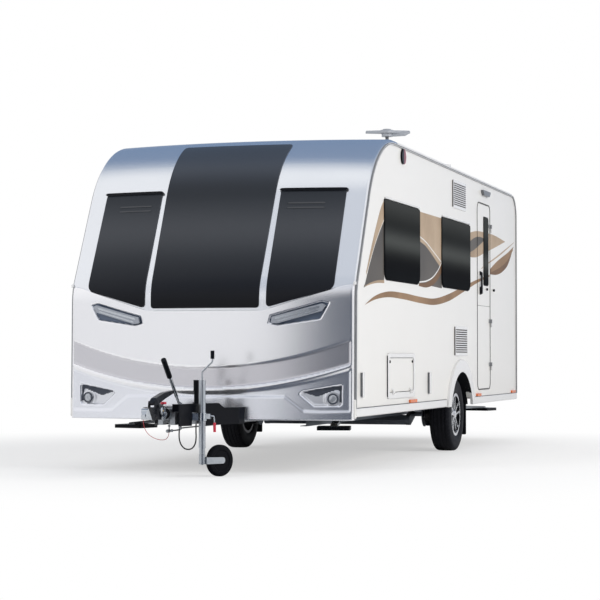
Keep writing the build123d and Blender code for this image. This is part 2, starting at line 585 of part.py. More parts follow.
CROSS_Y = (Y_FRONT + 1050, Y_FRONT + 2300, AXLE_Y + 1000, Y_REAR - 260)
inner_x = RAIL_X - RAIL_WEB
cross = [block(-inner_x, inner_x, y - 20, y + 20, FLOOR_BOTTOM - 60, FLOOR_BOTTOM - RAIL_WEB) for y in CROSS_Y]
packer_x = LEG_FRONT[0] + (Y_FRONT - 60 - LEG_FRONT[1]) / (LEG_REAR[1] - LEG_FRONT[1]) * (LEG_REAR[0] - LEG_FRONT[0])
packer = block(-packer_x - 60, packer_x + 60, Y_FRONT - 80, Y_FRONT - 30, LEG_Z1, FLOOR_BOTTOM)
ladder = rail() + mirrored(rail())
for member in cross:
    ladder += member
keep("chassis_frame", ladder)
keep("drawbar_legs", drawbar_leg() + mirrored(drawbar_leg()) + packer)

# ---- Axle, arms, hubs and wheels -----------------------------------------------------------------
AXLE_TUBE = 50.0
ARM_LENGTH = 165.0
ARM_X = RAIL_X + 66
ARM_HALF = 20.0
BRAKE_ROD_Z = FLOOR_BOTTOM - 150
STUB_RADIUS = 20.0
STUB_PLAY = 0.05
DRUM_RADIUS = 105.0
DRUM_X0 = 790.0
DRUM_X1 = 865.0
AXLE_TUBE_Y = AXLE_Y - ARM_LENGTH + 20
AXLE_TUBE_Z = FLOOR_BOTTOM - RAIL_HIGH - AXLE_TUBE * math.cos(math.radians(30))


def axle_tube():
    """Six-sided rubber-torsion axle tube, its flat top under the rails."""
    reach = ARM_X - ARM_HALF
    tube = Pos(-reach, AXLE_TUBE_Y, AXLE_TUBE_Z) * extrude(Plane.YZ * RegularPolygon(AXLE_TUBE, 6), 2 * reach)
    return tube + block(-50, 50, AXLE_TUBE_Y - 14, AXLE_TUBE_Y + 14, AXLE_TUBE_Z + 30, BRAKE_ROD_Z + 14)


def swing_arm():
    """Trailing arm from the axle tube to the stub axle."""
    a, b = (AXLE_TUBE_Y, AXLE_TUBE_Z), (AXLE_Y, TYRE_RADIUS)
    x0, x1 = ARM_X - ARM_HALF, ARM_X + ARM_HALF
    ends = [Pos(x0, y, z) * extrude(Plane.YZ * Circle(r), x1 - x0) for (y, z), r in ((a, 46), (b, 34))]
    angle = math.atan2(b[1] - a[1], b[0] - a[0])
    ny, nz = -math.sin(angle), math.cos(angle)
    web = plate_yz([(a[0] + ny * 44, a[1] + nz * 44), (b[0] + ny * 33, b[1] + nz * 33),
                    (b[0] - ny * 33, b[1] - nz * 33), (a[0] - ny * 44, a[1] - nz * 44)], x0, x1)
    stub = rod((x1 - 5, AXLE_Y, TYRE_RADIUS), (DRUM_X1 + 30, AXLE_Y, TYRE_RADIUS), STUB_RADIUS)
    return ends[0] + ends[1] + web + stub


keep("axle_tube", axle_tube())
backplate = Pos(DRUM_X0 - 14, AXLE_Y, TYRE_RADIUS) * extrude(Plane.YZ * Circle(DRUM_RADIUS + 6), 8)
arm = swing_arm() + backplate
keep("swing_arms", group(arm, mirrored(arm)))


def turned(profile):
    """A profile in (radius, X from the wheel's middle) turned about the wheel's axle."""
    with BuildSketch(Plane.XZ) as sketch:
        with BuildLine():
            Polyline(*[(x, r) for r, x in profile], close=True)
        make_face()
    return Pos(WHEEL_X, AXLE_Y, TYRE_RADIUS) * revolve(sketch.sketch, Axis.X)


BORE = STUB_RADIUS + STUB_PLAY
SEAT = 176.0                # tyre's bore and the rim's seat
TYRE_GAP = SEAT_GAP


def tyre():
    """Tyre with rounded shoulders and a short sidewall."""
    w, r = TYRE_WIDTH / 2, TYRE_RADIUS
    inner = SEAT + TYRE_GAP
    with BuildSketch(Plane.XZ) as sketch:
        with BuildLine():
            FilletPolyline((-w + 30, inner), (w - 30, inner), (w, inner + 60), (w - 8, r - 8), (w - 40, r),
                           (-w + 40, r), (-w + 8, r - 8), (-w, inner + 60),
                           radius=(4, 4, 40, 18, 30, 30, 18, 40), close=True)
        make_face()
    return Pos(WHEEL_X, AXLE_Y, TYRE_RADIUS) * revolve(sketch.sketch, Axis.X)


SPOKE_PAIRS = 5
SPOKE_SPREAD = 13.0         # degrees either side of a pair's middle at the rim
SPOKE_WIDE = 17.0
FACE_X = 76.0               # spokes' outer face from the wheel's middle


def rim():
    """Alloy wheel: barrel with lips, hub and five pairs of spokes."""
    w = TYRE_WIDTH / 2 - 14
    barrel_part = turned([(SEAT - 10, -w), (RIM_RADIUS, -w), (RIM_RADIUS, -w + 7), (SEAT, -w + 14), (SEAT, w - 14),
                          (RIM_RADIUS, w - 7), (RIM_RADIUS, w), (SEAT - 10, w)])
    hub = turned([(BORE + 12, FACE_X - 44), (62, FACE_X - 44), (58, FACE_X - 12), (40, FACE_X - 4), (BORE + 12, FACE_X - 4)])
    cap = turned([(0, FACE_X - 4), (38, FACE_X - 4), (34, FACE_X + 5), (0, FACE_X + 7)])
    wheel = barrel_part + hub + cap
    for n in range(SPOKE_PAIRS):
        for lean in (-1, 1):
            inner_angle = math.radians(360 / SPOKE_PAIRS * n + lean * 20)
            outer_angle = math.radians(360 / SPOKE_PAIRS * n + lean * SPOKE_SPREAD)
            a = (50 * math.sin(inner_angle), 50 * math.cos(inner_angle))
            b = ((SEAT - 5) * math.sin(outer_angle), (SEAT - 5) * math.cos(outer_angle))
            length = math.hypot(b[0] - a[0], b[1] - a[1])
            turn = math.degrees(math.atan2(b[1] - a[1], b[0] - a[0]))
            bar = Box(20, length, SPOKE_WIDE)
            middle = ((a[0] + b[0]) / 2, (a[1] + b[1]) / 2)
            placed = Pos(FACE_X - 14, middle[0], middle[1]) * Rot(turn, 0, 0) * bar
            wheel += Pos(WHEEL_X, AXLE_Y, TYRE_RADIUS) * placed
    return wheel


def drum():
    """Brake drum and hub running on the stub axle."""
    x0, x1 = DRUM_X0 - WHEEL_X, DRUM_X1 - WHEEL_X
    return turned([(BORE, x0 + 12), (DRUM_RADIUS, x0 + 12), (DRUM_RADIUS, x1), (58, x1), (58, FACE_X - 44.0),
                   (BORE, FACE_X - 44.0)])


for name, side in SIDES:
    place = (lambda piece: piece) if side > 0 else mirrored
    keep(f"tyre_{name}", place(tyre()))
    keep(f"rim_{name}", place(rim() + drum()))

# ---- Coupling, drawbar cover and handbrake --------------------------------------------------------
COUPLING_Z = 452.0
HOUSING = (LEG_FRONT[1] - 30, LEG_FRONT[1] + 330)       # overrun housing, Y
SHAFT_RADIUS = 25.0
BALL_RADIUS = 25.25
BALL_Y = Y_NOSE + 62
PAD_Y = Y_NOSE + 270

housing = plate_xz(rectangle(-26, 26, COUPLING_Z - 44, COUPLING_Z + 36), *HOUSING, 10)
shaft = rod((0, PAD_Y - 30, COUPLING_Z), (0, HOUSING[0], COUPLING_Z), SHAFT_RADIUS)


def gaiter():
    """Ribbed rubber sleeve over the draw shaft."""
    y0, y1 = PAD_Y + 62, HOUSING[0]
    ribs = 5
    pitch = (y1 - y0) / ribs
    profile = [(SHAFT_RADIUS, y0)]
    for n in range(ribs):
        profile += [(31, y0 + pitch * n), (40, y0 + pitch * (n + 0.5))]
    profile += [(31, y1), (SHAFT_RADIUS, y1)]
    with BuildSketch(Plane.XY) as sketch:
        with BuildLine():
            Polyline(*profile, close=True)
        make_face()
    return Pos(0, 0, COUPLING_Z) * revolve(sketch.sketch, Axis.Y)


def coupling_head():
    """Cast head: ball cup at the nose, body with pad housings either side."""
    side = [(Y_NOSE + 6, COUPLING_Z - 30), (Y_NOSE, COUPLING_Z), (Y_NOSE + 14, COUPLING_Z + 40),
            (Y_NOSE + 95, COUPLING_Z + 52), (PAD_Y + 60, COUPLING_Z + 38), (PAD_Y + 60, COUPLING_Z - 38),
            (Y_NOSE + 130, COUPLING_Z - 36)]
    body = plate_yz(side, -34, 34, (12, 18, 26, 20, 8, 8, 8))
    body &= plate_xy([(-34, PAD_Y + 60), (-34, BALL_Y + 10), (-20, Y_NOSE), (20, Y_NOSE), (34, BALL_Y + 10),
                      (34, PAD_Y + 60)], COUPLING_Z - 80, COUPLING_Z + 80, (4, 20, 18, 18, 20, 4))
    cup = Pos(0, BALL_Y, COUPLING_Z - 5) * Sphere(BALL_RADIUS)
    mouth = Pos(0, BALL_Y, COUPLING_Z - 60) * extrude(Circle(BALL_RADIUS), 55)
    return body - cup - mouth - rod((0, PAD_Y - 30, COUPLING_Z), (0, PAD_Y + 90, COUPLING_Z), SHAFT_RADIUS)


pad = Pos(34, PAD_Y, COUPLING_Z) * extrude(Plane.YZ * Circle(45), 12)
pad += Pos(46, PAD_Y, COUPLING_Z) * extrude(Plane.YZ * Circle(17), 12)
keep("gaiter", gaiter())
head = coupling_head() + pad + mirrored(pad)

HANDLE_PIVOT = (PAD_Y - 110, COUPLING_Z + 80)
HANDLE_PIN = 5.0
handle_side = [(HANDLE_PIVOT[0] + y, HANDLE_PIVOT[1] + z) for y, z in
               ((-28, -6), (20, 30), (190, 66), (375, 78), (372, 60), (200, 24), (60, -14), (-16, -18))]
handle = plate_yz(handle_side, -18, 18, (8, 60, 120, 6, 6, 60, 30, 8))
handle -= Pos(-30, *HANDLE_PIVOT) * extrude(Plane.YZ * Circle(HANDLE_PIN + PIN_PLAY), 60)
keep("stabiliser_handle", handle)
ears = [plate_yz([(HANDLE_PIVOT[0] - 22, COUPLING_Z + 46), (HANDLE_PIVOT[0] + 22, COUPLING_Z + 40),
                  (HANDLE_PIVOT[0] + 12, HANDLE_PIVOT[1] + 12), (HANDLE_PIVOT[0] - 12, HANDLE_PIVOT[1] + 12)],
                 x, x + 5) for x in (-25.0, 20.0)]
pin = Pos(-25, *HANDLE_PIVOT) * extrude(Plane.YZ * Circle(HANDLE_PIN), 50)
keep("coupling_head", head + ears[0] + ears[1] + pin)

COVER_FRONT = Y_NOSE + 430
COVER_REAR = Y_PROW - 6
COVER_Z0, COVER_Z1 = 362.0, 516.0
COVER_SHELL = 4.0
JOCKEY_X, JOCKEY_Y = 190.0, Y_NOSE + 630
CLAMP_Z0, CLAMP_Z1 = 396.0, 452.0
PLUG_X, PLUG_Y = 90.0, Y_NOSE + 784
DECK_Z = LEG_Z1 + 8 + COVER_SHELL


def cover_plan(inset):
    f, r = COVER_FRONT + inset, COVER_REAR
    return [(-90 + inset, f), (90 - inset, f), (172 - inset, f + 290), (326 - inset, r - 120),
            (326 - inset, r), (-326 + inset, r), (-326 + inset, r - 120), (-172 + inset, f + 290)]


def drawbar_cover():
    """Moulded fairing over the drawbar, with a sunk deck and open underneath."""
    outer = plate_xy(cover_plan(0), COVER_Z0, COVER_Z1, (16, 16, 60, 30, 4, 4, 30, 60))
    outer -= plate_yz([(COVER_FRONT + 420, COVER_Z1 + 1), (COVER_FRONT + 470, COVER_Z1 - 34),
                       (COVER_REAR + 20, COVER_Z1 - 34), (COVER_REAR + 20, COVER_Z1 + 1)], -400, 400)
    hollow = plate_xy(cover_plan(COVER_SHELL), COVER_Z0 - 10, DECK_Z - COVER_SHELL)
    hollow += block(-86, 86, COVER_FRONT - 20, COVER_FRONT + 40, COVER_Z0 - 10, DECK_Z - COVER_SHELL)
    deck = plate_xy(cover_plan(26), DECK_Z, COVER_Z1 + 10)
    housing_room = block(-64, 42, COVER_FRONT - 20, HOUSING[1] + 110, COVER_Z0, COVER_Z1 + 10)
    clamp_room = block(110, 200, JOCKEY_Y - 50, JOCKEY_Y + 50, COVER_Z0 - 10, CLAMP_Z1 + 4)
    lead_hole = Pos(PLUG_X, PLUG_Y, COVER_Z0) * extrude(Circle(19), COVER_Z1)
    return outer - hollow - deck - housing_room - clamp_room - lead_hole


keep("drawbar_cover", drawbar_cover())

LEVER_X = -40.0
LEVER_PIVOT = (Y_NOSE + 790, 500.0)
LEVER_LENGTH = 455.0
LEVER_LEAN = 45.6           # degrees up from level, towards the coupling
lever_dir = (-math.cos(math.radians(LEVER_LEAN)), math.sin(math.radians(LEVER_LEAN)))


def on_lever(along):
    return (LEVER_X, LEVER_PIVOT[0] + lever_dir[0] * along, LEVER_PIVOT[1] + lever_dir[1] * along)


lever = rod(on_lever(0), on_lever(LEVER_LENGTH - 120), 9) + rod(on_lever(90), on_lever(LEVER_LENGTH - 120), 12)
lever += rod(on_lever(LEVER_LENGTH - 170), on_lever(LEVER_LENGTH), 19)
lever += Pos(LEVER_X - 8, *LEVER_PIVOT) * extrude(Plane.YZ * Circle(22), 16)
lever -= Pos(LEVER_X - 30, *LEVER_PIVOT) * extrude(Plane.YZ * Circle(HANDLE_PIN + PIN_PLAY), 60)
keep("handbrake_lever", lever)
lever_base = plate_yz([(LEVER_PIVOT[0] - 50, COUPLING_Z - 44), (LEVER_PIVOT[0] + 60, COUPLING_Z - 44),
                       (LEVER_PIVOT[0] + 16, LEVER_PIVOT[1] + 16), (LEVER_PIVOT[0] - 16, LEVER_PIVOT[1] + 16)],
                      LEVER_X + 9, -26, 10)
lever_base += Pos(LEVER_X - 9, *LEVER_PIVOT) * extrude(Plane.YZ * Circle(HANDLE_PIN), 20)
BREAKAWAY_Y = Y_NOSE + 610
hook = block(-56, -18, BREAKAWAY_Y - 10, BREAKAWAY_Y + 10, 408, 416) + rod((-50, BREAKAWAY_Y, 345), (-50, BREAKAWAY_Y, 410), 4)
keep("coupling_housing", housing + shaft + lever_base + hook)
BRAKE_LINK_Y = HOUSING[1] - 60
brake_rod = rod((0, BRAKE_LINK_Y, BRAKE_ROD_Z), (0, AXLE_TUBE_Y - 14, BRAKE_ROD_Z), 5)
brake_rod += block(-6, 6, BRAKE_LINK_Y - 12, BRAKE_LINK_Y + 12, BRAKE_ROD_Z - 10, COUPLING_Z - 44)
keep("brake_rod", brake_rod)

# ---- Jockey wheel -----------------------------------------------------------------------------------
JOCKEY_TUBE = 24.0
JOCKEY_INNER = 20.0
JOCKEY_PLAY = 0.08
JOCKEY_TOP = 681.0
JOCKEY_TUBE_FOOT = 206.0
JOCKEY_RADIUS = 112.0
JOCKEY_WIDTH = 50.0
JOCKEY_TRAIL = 160.0
JOCKEY_TURN = -30.0         # fork's direction from +Y towards +X, degrees about Z
FORK_Z0, FORK_Z1 = 92.0, 140.0

outer_tube = Pos(JOCKEY_X, JOCKEY_Y, JOCKEY_TUBE_FOOT) * extrude(
    Circle(JOCKEY_TUBE) - Circle(JOCKEY_INNER + JOCKEY_PLAY), JOCKEY_TOP - JOCKEY_TUBE_FOOT - 3)
outer_tube += Pos(JOCKEY_X, JOCKEY_Y, JOCKEY_TOP - 3) * extrude(Circle(JOCKEY_TUBE), 3)
inner_tube = Pos(JOCKEY_X, JOCKEY_Y, 162) * extrude(Circle(JOCKEY_INNER) - Circle(14), 438)
inner_tube += Pos(JOCKEY_X, JOCKEY_Y, 88) * extrude(Circle(10), 80)
inner_tube += Pos(JOCKEY_X, JOCKEY_Y, 162) * extrude(Circle(15), 10)
keep("jockey_spindle", inner_tube)


def jockey_frame(piece):
    """Lay a piece built with the fork along +Y from the tube's axis into its parked direction."""
    return Pos(JOCKEY_X, JOCKEY_Y, 0) * Rot(0, 0, JOCKEY_TURN) * piece


def fork():
    half = JOCKEY_WIDTH / 2 + 6
    boss = Pos(0, 0, FORK_Z0) * extrude(Circle(23), 160 - FORK_Z0)
    boss -= Pos(0, 0, 80) * extrude(Circle(10 + PIN_PLAY), 100)
    strap = plate_yz([(14, FORK_Z0), (JOCKEY_TRAIL + 22, FORK_Z0), (JOCKEY_TRAIL + 22, FORK_Z1 - 4), (14, FORK_Z1)],
                     half, half + 5, (2, 20, 20, 2))
    strap += block(8, half + 5, 14, 24, FORK_Z0, FORK_Z1)
    axle = Pos(-half - 5, JOCKEY_TRAIL, JOCKEY_RADIUS) * extrude(Plane.YZ * Circle(6), 2 * half + 10)
    return boss + strap + mirrored(strap) + axle


def jockey_wheel():
    w = JOCKEY_WIDTH / 2
    with BuildSketch(Plane.XZ) as sketch:
        with BuildLine():
            FilletPolyline((-w - 3, 6.08), (w + 3, 6.08), (w + 3, 22), (w - 6, 24), (w - 6, 70), (w, 78),
                           (w, JOCKEY_RADIUS), (-w, JOCKEY_RADIUS), (-w, 78), (-w + 6, 70), (-w + 6, 24),
                           (-w - 3, 22), radius=(0, 0, 0, 0, 2, 2, 14, 14, 2, 2, 0, 0), close=True)
        make_face()
    return Pos(0, JOCKEY_TRAIL, JOCKEY_RADIUS) * revolve(sketch.sketch, Axis.X)


keep("jockey_fork", jockey_frame(fork()))
keep("jockey_wheel", jockey_frame(jockey_wheel()))

def jockey_clamp():
    """Split ring round the tube, bolted to the drawbar leg."""
    t = (JOCKEY_Y - LEG_FRONT[1]) / (LEG_REAR[1] - LEG_FRONT[1])
    leg_face = LEG_FRONT[0] + t * (LEG_REAR[0] - LEG_FRONT[0]) + LEG_WIDE / 2
    ring = Pos(JOCKEY_X, JOCKEY_Y, CLAMP_Z0) * extrude(Circle(JOCKEY_TUBE + 8), CLAMP_Z1 - CLAMP_Z0)
    bracket = plate_xy([(leg_face - 12, JOCKEY_Y - 42), (leg_face + 8, JOCKEY_Y + 42),
                        (JOCKEY_X - 8, JOCKEY_Y + 22), (JOCKEY_X - 8, JOCKEY_Y - 22)], CLAMP_Z0 + 4, CLAMP_Z1 - 4)
    leg_room = drawbar_leg()
    ring = ring + bracket - leg_room
    ring += block(JOCKEY_X + 20, JOCKEY_X + 62, JOCKEY_Y - 9, JOCKEY_Y + 9, CLAMP_Z0 + 14, CLAMP_Z1 - 6)
    ring -= Pos(JOCKEY_X, JOCKEY_Y, CLAMP_Z0 - 1) * extrude(Circle(JOCKEY_TUBE), CLAMP_Z1 - CLAMP_Z0 + 2)
    return ring


clamp_bar = tube_along([(JOCKEY_X + 58, JOCKEY_Y, 430), (JOCKEY_X + 88, JOCKEY_Y, 430), (JOCKEY_X + 92, JOCKEY_Y, 372)],
                       5, 8)
clamp_bar += rod((JOCKEY_X + 92, JOCKEY_Y, 384), (JOCKEY_X + 93, JOCKEY_Y, 318), 10)
keep("jockey_clamp", jockey_clamp() + clamp_bar)
crank = tube_along([(JOCKEY_X, JOCKEY_Y, JOCKEY_TOP - 2), (JOCKEY_X, JOCKEY_Y, JOCKEY_TOP + 60),
                    (JOCKEY_X + 76, JOCKEY_Y, JOCKEY_TOP + 130), (JOCKEY_X + 76, JOCKEY_Y, JOCKEY_TOP + 170)], 6, 16)
crank += rod((JOCKEY_X + 76, JOCKEY_Y, JOCKEY_TOP + 150), (JOCKEY_X + 76, JOCKEY_Y, JOCKEY_TOP + 208), 14)
keep("jockey_tube", outer_tube + crank)

# ---- Corner steadies ---------------------------------------------------------------------------------
STEADY_LENGTH = 520.0
STEADY_Z = 338.0
STEADY_FOOT = (250.0, 240.0)    # width and length of the foot plate
# steady: name, pivot X and Y, direction of the stowed leg from the pivot (X, Y), on the +X side
STEADIES = (("front", (RAIL_X + 100, Y_FRONT + 980), (0.23, -0.973)),
            ("rear", (RAIL_X + 100, Y_REAR - 760), (0.23, 0.973)))


def steady_frame(pivot, direction, piece):
    """Lay a piece built along +Y from its pivot at the origin into its place under the floor."""
    turn = math.degrees(math.atan2(-direction[0], direction[1]))
    return Pos(pivot[0], pivot[1], STEADY_Z) * Rot(0, 0, turn) * piece


def steady_leg():
    """Pressed channel leg, narrowing to a foot plate."""
    web = plate_xy([(-26, -14), (26, -14), (20, STEADY_LENGTH - 20), (-20, STEADY_LENGTH - 20)], -16, -12)
    arms = [plate_yz([(-14, -16), (STEADY_LENGTH - 20, -16), (STEADY_LENGTH - 20, -2), (-14, 16)], x, x + 4)
            for x in (-26.0, 22.0)]
    wide, long = STEADY_FOOT
    foot = plate_xy(rectangle(-wide / 2, wide / 2, STEADY_LENGTH + 40 - long, STEADY_LENGTH + 40), -44, -16, 16)
    leg = web + arms[0] + arms[1] + foot
    return leg - Pos(-40, 0, 0) * extrude(Plane.YZ * Circle(8 + PIN_PLAY), 80)


def steady_bracket():
    cheeks = [block(x, x + 5, -24, 24, -12, FLOOR_BOTTOM - STEADY_Z) for x in (-33.0, 28.0)]
    pin = Pos(-33, 0, 0) * extrude(Plane.YZ * Circle(8), 66)
    top = block(-60, 60, -60, 60, FLOOR_BOTTOM - STEADY_Z - 5, FLOOR_BOTTOM - STEADY_Z)
    return cheeks[0] + cheeks[1] + pin + top


brackets = []
for end, pivot, direction in STEADIES:
    leg = steady_frame(pivot, direction, steady_leg())
    bracket = steady_frame(pivot, direction, steady_bracket())
    keep(f"steady_{end}_left", leg)
    keep(f"steady_{end}_right", mirrored(leg))
    brackets += [bracket, mirrored(bracket)]
keep("steady_brackets", group(*brackets))

# ---- Roof fittings -------------------------------------------------------------------------------------
LID_GAP = 0.3


def roof_z(y):
    """Height of the roof's outer face."""
    return ROOF_Z - max(0.0, (y - Y_STRAIGHT) / (Y_REAR - Y_STRAIGHT)) * ROOF_FALL


frames = []
for name, y, long, wide in ROOFLIGHTS:
    z = roof_z(y + long / 2)
    curb = block(-wide / 2, wide / 2, y - long / 2, y + long / 2, z - 1, z + 42)
    curb -= block(CURB - wide / 2, wide / 2 - CURB, y - long / 2 + CURB, y + long / 2 - CURB, z - 40, z + 60)
    curb -= block(-wide, wide, y - long, y + long, z - 40, roof_z(y - long / 2))
    frames.append(curb)
    lid = plate_xy(rectangle(-wide / 2 - 12, wide / 2 + 12, y - long / 2 - 12, y + long / 2 + 12),
                   z + 42 + LID_GAP, z + 70, 40)
    lid = chamfer(lid.faces().sort_by(Axis.Z)[-1].edges(), 16)
    keep(f"rooflight_lid_{name}", lid)

# roof cap: X, Y, radius, height
ROOF_CAPS = ((930.0, Y_FRONT + 3750, 55.0, 70.0), (940.0, Y_FRONT + 5900, 40.0, 52.0))
caps = []
for x, y, r, high in ROOF_CAPS:
    z = roof_z(y - r)
    caps.append(Pos(x, y, z) * (extrude(Circle(r * 0.6), high - 18) + Pos(0, 0, high - 18) * extrude(Circle(r), 18)))

AERIAL_X, AERIAL_Y = 900.0, Y_FRONT + 1770
AERIAL_MAST = 14.0
AERIAL_TOP = 2668.0
mast_foot = roof_z(AERIAL_Y - 48)
mast = Pos(AERIAL_X, AERIAL_Y, mast_foot) * extrude(Circle(AERIAL_MAST), AERIAL_TOP - 6 - mast_foot - SEAT_GAP)
mast += Pos(AERIAL_X, AERIAL_Y, mast_foot) * extrude(Circle(48), 14)
keep("roof_fittings", group(*frames, *caps, mast))


def aerial_head():
    """Wing-shaped directional aerial on a round boss."""
    wing = plate_xy([(-60, -34), (0, -62), (60, -34), (190, -8), (186, 34), (70, 44), (0, 52), (-70, 44),
                     (-172, 22), (-176, 0)], 4, 26, (20, 30, 20, 10, 10, 40, 60, 40, 8, 8))
    boss = extrude(Circle(52), 30) + Pos(0, 0, 30) * extrude(Circle(34), 8)
    boss += Pos(0, 0, -24) * extrude(Circle(44) - Circle(AERIAL_MAST + 6), 25)
    wing = chamfer(wing.faces().sort_by(Axis.Z)[-1].edges(), 6)
    arm = plate_xz([(38, -20), (150, -14), (184, 6), (184, 16), (38, 20)], -24, 34, 4)
    return Pos(AERIAL_X, AERIAL_Y, AERIAL_TOP - 6) * Rot(0, 0, 17) * (wing + boss + arm)


keep("aerial_head", aerial_head())

# ---- Rear lamps, bumper, mudflaps --------------------------------------------------------------------
rear_lamp = plate_xz(rectangle(HALF - 175, HALF - 45, 700, 1130), Y_REAR, Y_REAR + 32, 30)
stop_lamp = plate_xz(rectangle(-150, 150, 2180, 2210), Y_REAR, Y_REAR + 16, 10)
keep("rear_lamps", group(rear_lamp, mirrored(rear_lamp), stop_lamp))
bumper = plate_xz([(-HALF + 6, BODY_BOTTOM), (HALF - 6, BODY_BOTTOM), (HALF - 6, 640), (420, 640), (360, 560),
                   (-360, 560), (-420, 640), (-HALF + 6, 640)], Y_REAR, Y_REAR + 26, (12, 12, 20, 30, 30, 30, 30, 20))
plate_seat = plate_xz(rectangle(-270, 270, 590, 710), Y_REAR, Y_REAR + 14, 10)
keep("rear_bumper", group(bumper, plate_seat))
rear_grab = plate_yz([(Y_REAR, 1180), (Y_REAR + 44, 1200), (Y_REAR + 44, 1360), (Y_REAR, 1380)], HALF - 128, HALF - 96, (2, 16, 16, 2))
rear_grab -= plate_yz([(Y_REAR - 1, 1212), (Y_REAR + 26, 1222), (Y_REAR + 26, 1338), (Y_REAR - 1, 1348)], HALF - 200, HALF)
keep("grab_handles", group(grip, mirrored(grip), rear_grab, mirrored(rear_grab)))

flap = plate_xz(rectangle(WHEEL_X - 95, WHEEL_X + 95, 130, 620), AXLE_Y + TYRE_RADIUS + 52, AXLE_Y + TYRE_RADIUS + 60, 12)
flap &= arch_cut(ARCH_RADIUS - SEAT_GAP, 0, HALF)
keep("wheel_boxes", group(wheel_box(), mirrored(wheel_box()), flap, mirrored(flap)))

# ---- Towing lead, its plug and the breakaway cable ----------------------------------------------------
LEAD_RADIUS = 5.0
LEAD_Y = Y_NOSE + 924
BREAKAWAY_RADIUS = 2.0
# points of the lead, from its gland under the drawbar to the parked plug: X, Y, Z
LEAD_ROUTE = [(-92, LEAD_Y, 384), (-92, LEAD_Y, 324), (-94, LEAD_Y - 3, 260), (-80, LEAD_Y - 4, 212),
              (-46, LEAD_Y - 5, 179), (2, LEAD_Y - 8, 179), (35, LEAD_Y - 14, 213), (47, LEAD_Y - 26, 263),
              (50, LEAD_Y - 40, 310), (64, LEAD_Y - 76, 362), (82, LEAD_Y - 119, 404), (90, LEAD_Y - 140, 440),
              (90, LEAD_Y - 140, 482)]
# points of the breakaway cable, from the bracket under the housing to the head: X, Y behind the nose, Z
BREAKAWAY_ROUTE = [(-50, Y_NOSE + y, z) for y, z in
                   ((610, 345), (610, 312), (592, 284), (556, 268), (508, 264), (455, 266), (402, 271), (350, 279),
                    (299, 289), (249, 303), (202, 320), (161, 344), (132, 372), (116, 410), (116, 448))]


def corner_radii(route):
    """Largest arc for each corner: 0.45 of its shorter run over the tangent of half its turn."""
    radii = []
    for a, b, c in zip(route, route[1:], route[2:]):
        before, after = Vector(*b) - Vector(*a), Vector(*c) - Vector(*b)
        turn = math.radians(before.get_angle(after))
        radii.append(0.45 * min(before.length, after.length) / math.tan(turn / 2))
    return radii


def cord(name, route, radius):
    radii = corner_radii(route)
    print(name, "radii", [round(r) for r in radii])
    solid = tube_along(route, radius, radii)
    with BuildLine() as path:
        FilletPolyline(*route, radius=radii)
    length = sum(edge.length for edge in path.edges())
    print(name, "length", round(length), "volume over section times length",
          round(solid.volume / (math.pi * radius**2 * length), 4))
    keep(name, solid)


cord("towing_lead", LEAD_ROUTE, LEAD_RADIUS)
cord("breakaway_cable", BREAKAWAY_ROUTE, BREAKAWAY_RADIUS)
gland = Pos(-92, LEAD_Y, 384) * extrude(Circle(10), 20)
gland += block(-200, -82, LEAD_Y - 16, LEAD_Y + 16, 392, 398) - mirrored(drawbar_leg())
plug = Pos(PLUG_X, PLUG_Y, 482) * (extrude(Circle(9), 26) + Pos(0, 0, 26) * extrude(Circle(17), 90)
                                   + Pos(0, 0, 116) * extrude(Circle(21), 82))
keep("lead_plug", plug)
holder = Pos(PLUG_X, PLUG_Y, DECK_Z) * extrude(Circle(28) - Circle(17 + SEAT_GAP), 52)
ring_y = Y_NOSE + 116
clip = Pos(-56, ring_y, 448) * extrude(Plane.YZ * Circle(8), 22)
clip -= block(-60, -40, ring_y - 10, ring_y + 10, 430, 448)
keep("cable_holders", group(gland, holder, clip))
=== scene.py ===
# %% [markdown]
# A travel caravan is one large coated box with a moulded front, dark acrylic windows and a steel
# chassis under it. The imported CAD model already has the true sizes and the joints, so this script
# loads it as the fixed frame, gives each part its finish, and adds the small things that are too
# fine for CAD: tyre tread, seals, bolts, trim lines and the coloured stripes on the walls. The lower
# front is modelled again too, because its relief has only soft edges.

import math

import bpy
import numpy as np
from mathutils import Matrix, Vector


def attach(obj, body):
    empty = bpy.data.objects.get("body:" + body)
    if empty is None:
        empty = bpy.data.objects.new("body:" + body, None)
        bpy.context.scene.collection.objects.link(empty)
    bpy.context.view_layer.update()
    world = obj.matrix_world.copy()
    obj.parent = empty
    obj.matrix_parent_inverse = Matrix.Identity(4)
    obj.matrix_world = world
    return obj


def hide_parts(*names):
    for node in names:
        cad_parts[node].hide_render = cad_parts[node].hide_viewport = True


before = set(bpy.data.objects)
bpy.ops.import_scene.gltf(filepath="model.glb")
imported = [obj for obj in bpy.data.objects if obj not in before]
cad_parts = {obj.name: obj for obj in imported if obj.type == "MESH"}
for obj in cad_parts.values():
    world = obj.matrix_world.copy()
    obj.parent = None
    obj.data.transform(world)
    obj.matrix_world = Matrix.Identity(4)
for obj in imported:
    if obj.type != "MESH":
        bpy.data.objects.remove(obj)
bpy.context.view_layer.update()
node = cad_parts

# %% [markdown]
# Most added pieces are a grid of points, where a shape is a function of two parameters; the rest
# are small boxes. Both are worked out as whole numpy arrays, which is quick and keeps a formula in
# one line. The helpers below turn such points into mesh objects.

# %% Grids to meshes
ROOT = "caravan"
WALL_X = 1.110                              # outer face of the side walls
WHEEL_MIDDLE = (0.9845, 1.080, 0.325)       # middle of the left wheel
SIDES = ((1, "left"), (-1, "right"))
BOX_FACES = [(0, 1, 3, 2), (4, 6, 7, 5), (0, 4, 5, 1), (2, 3, 7, 6), (0, 2, 6, 4), (1, 5, 7, 3)]


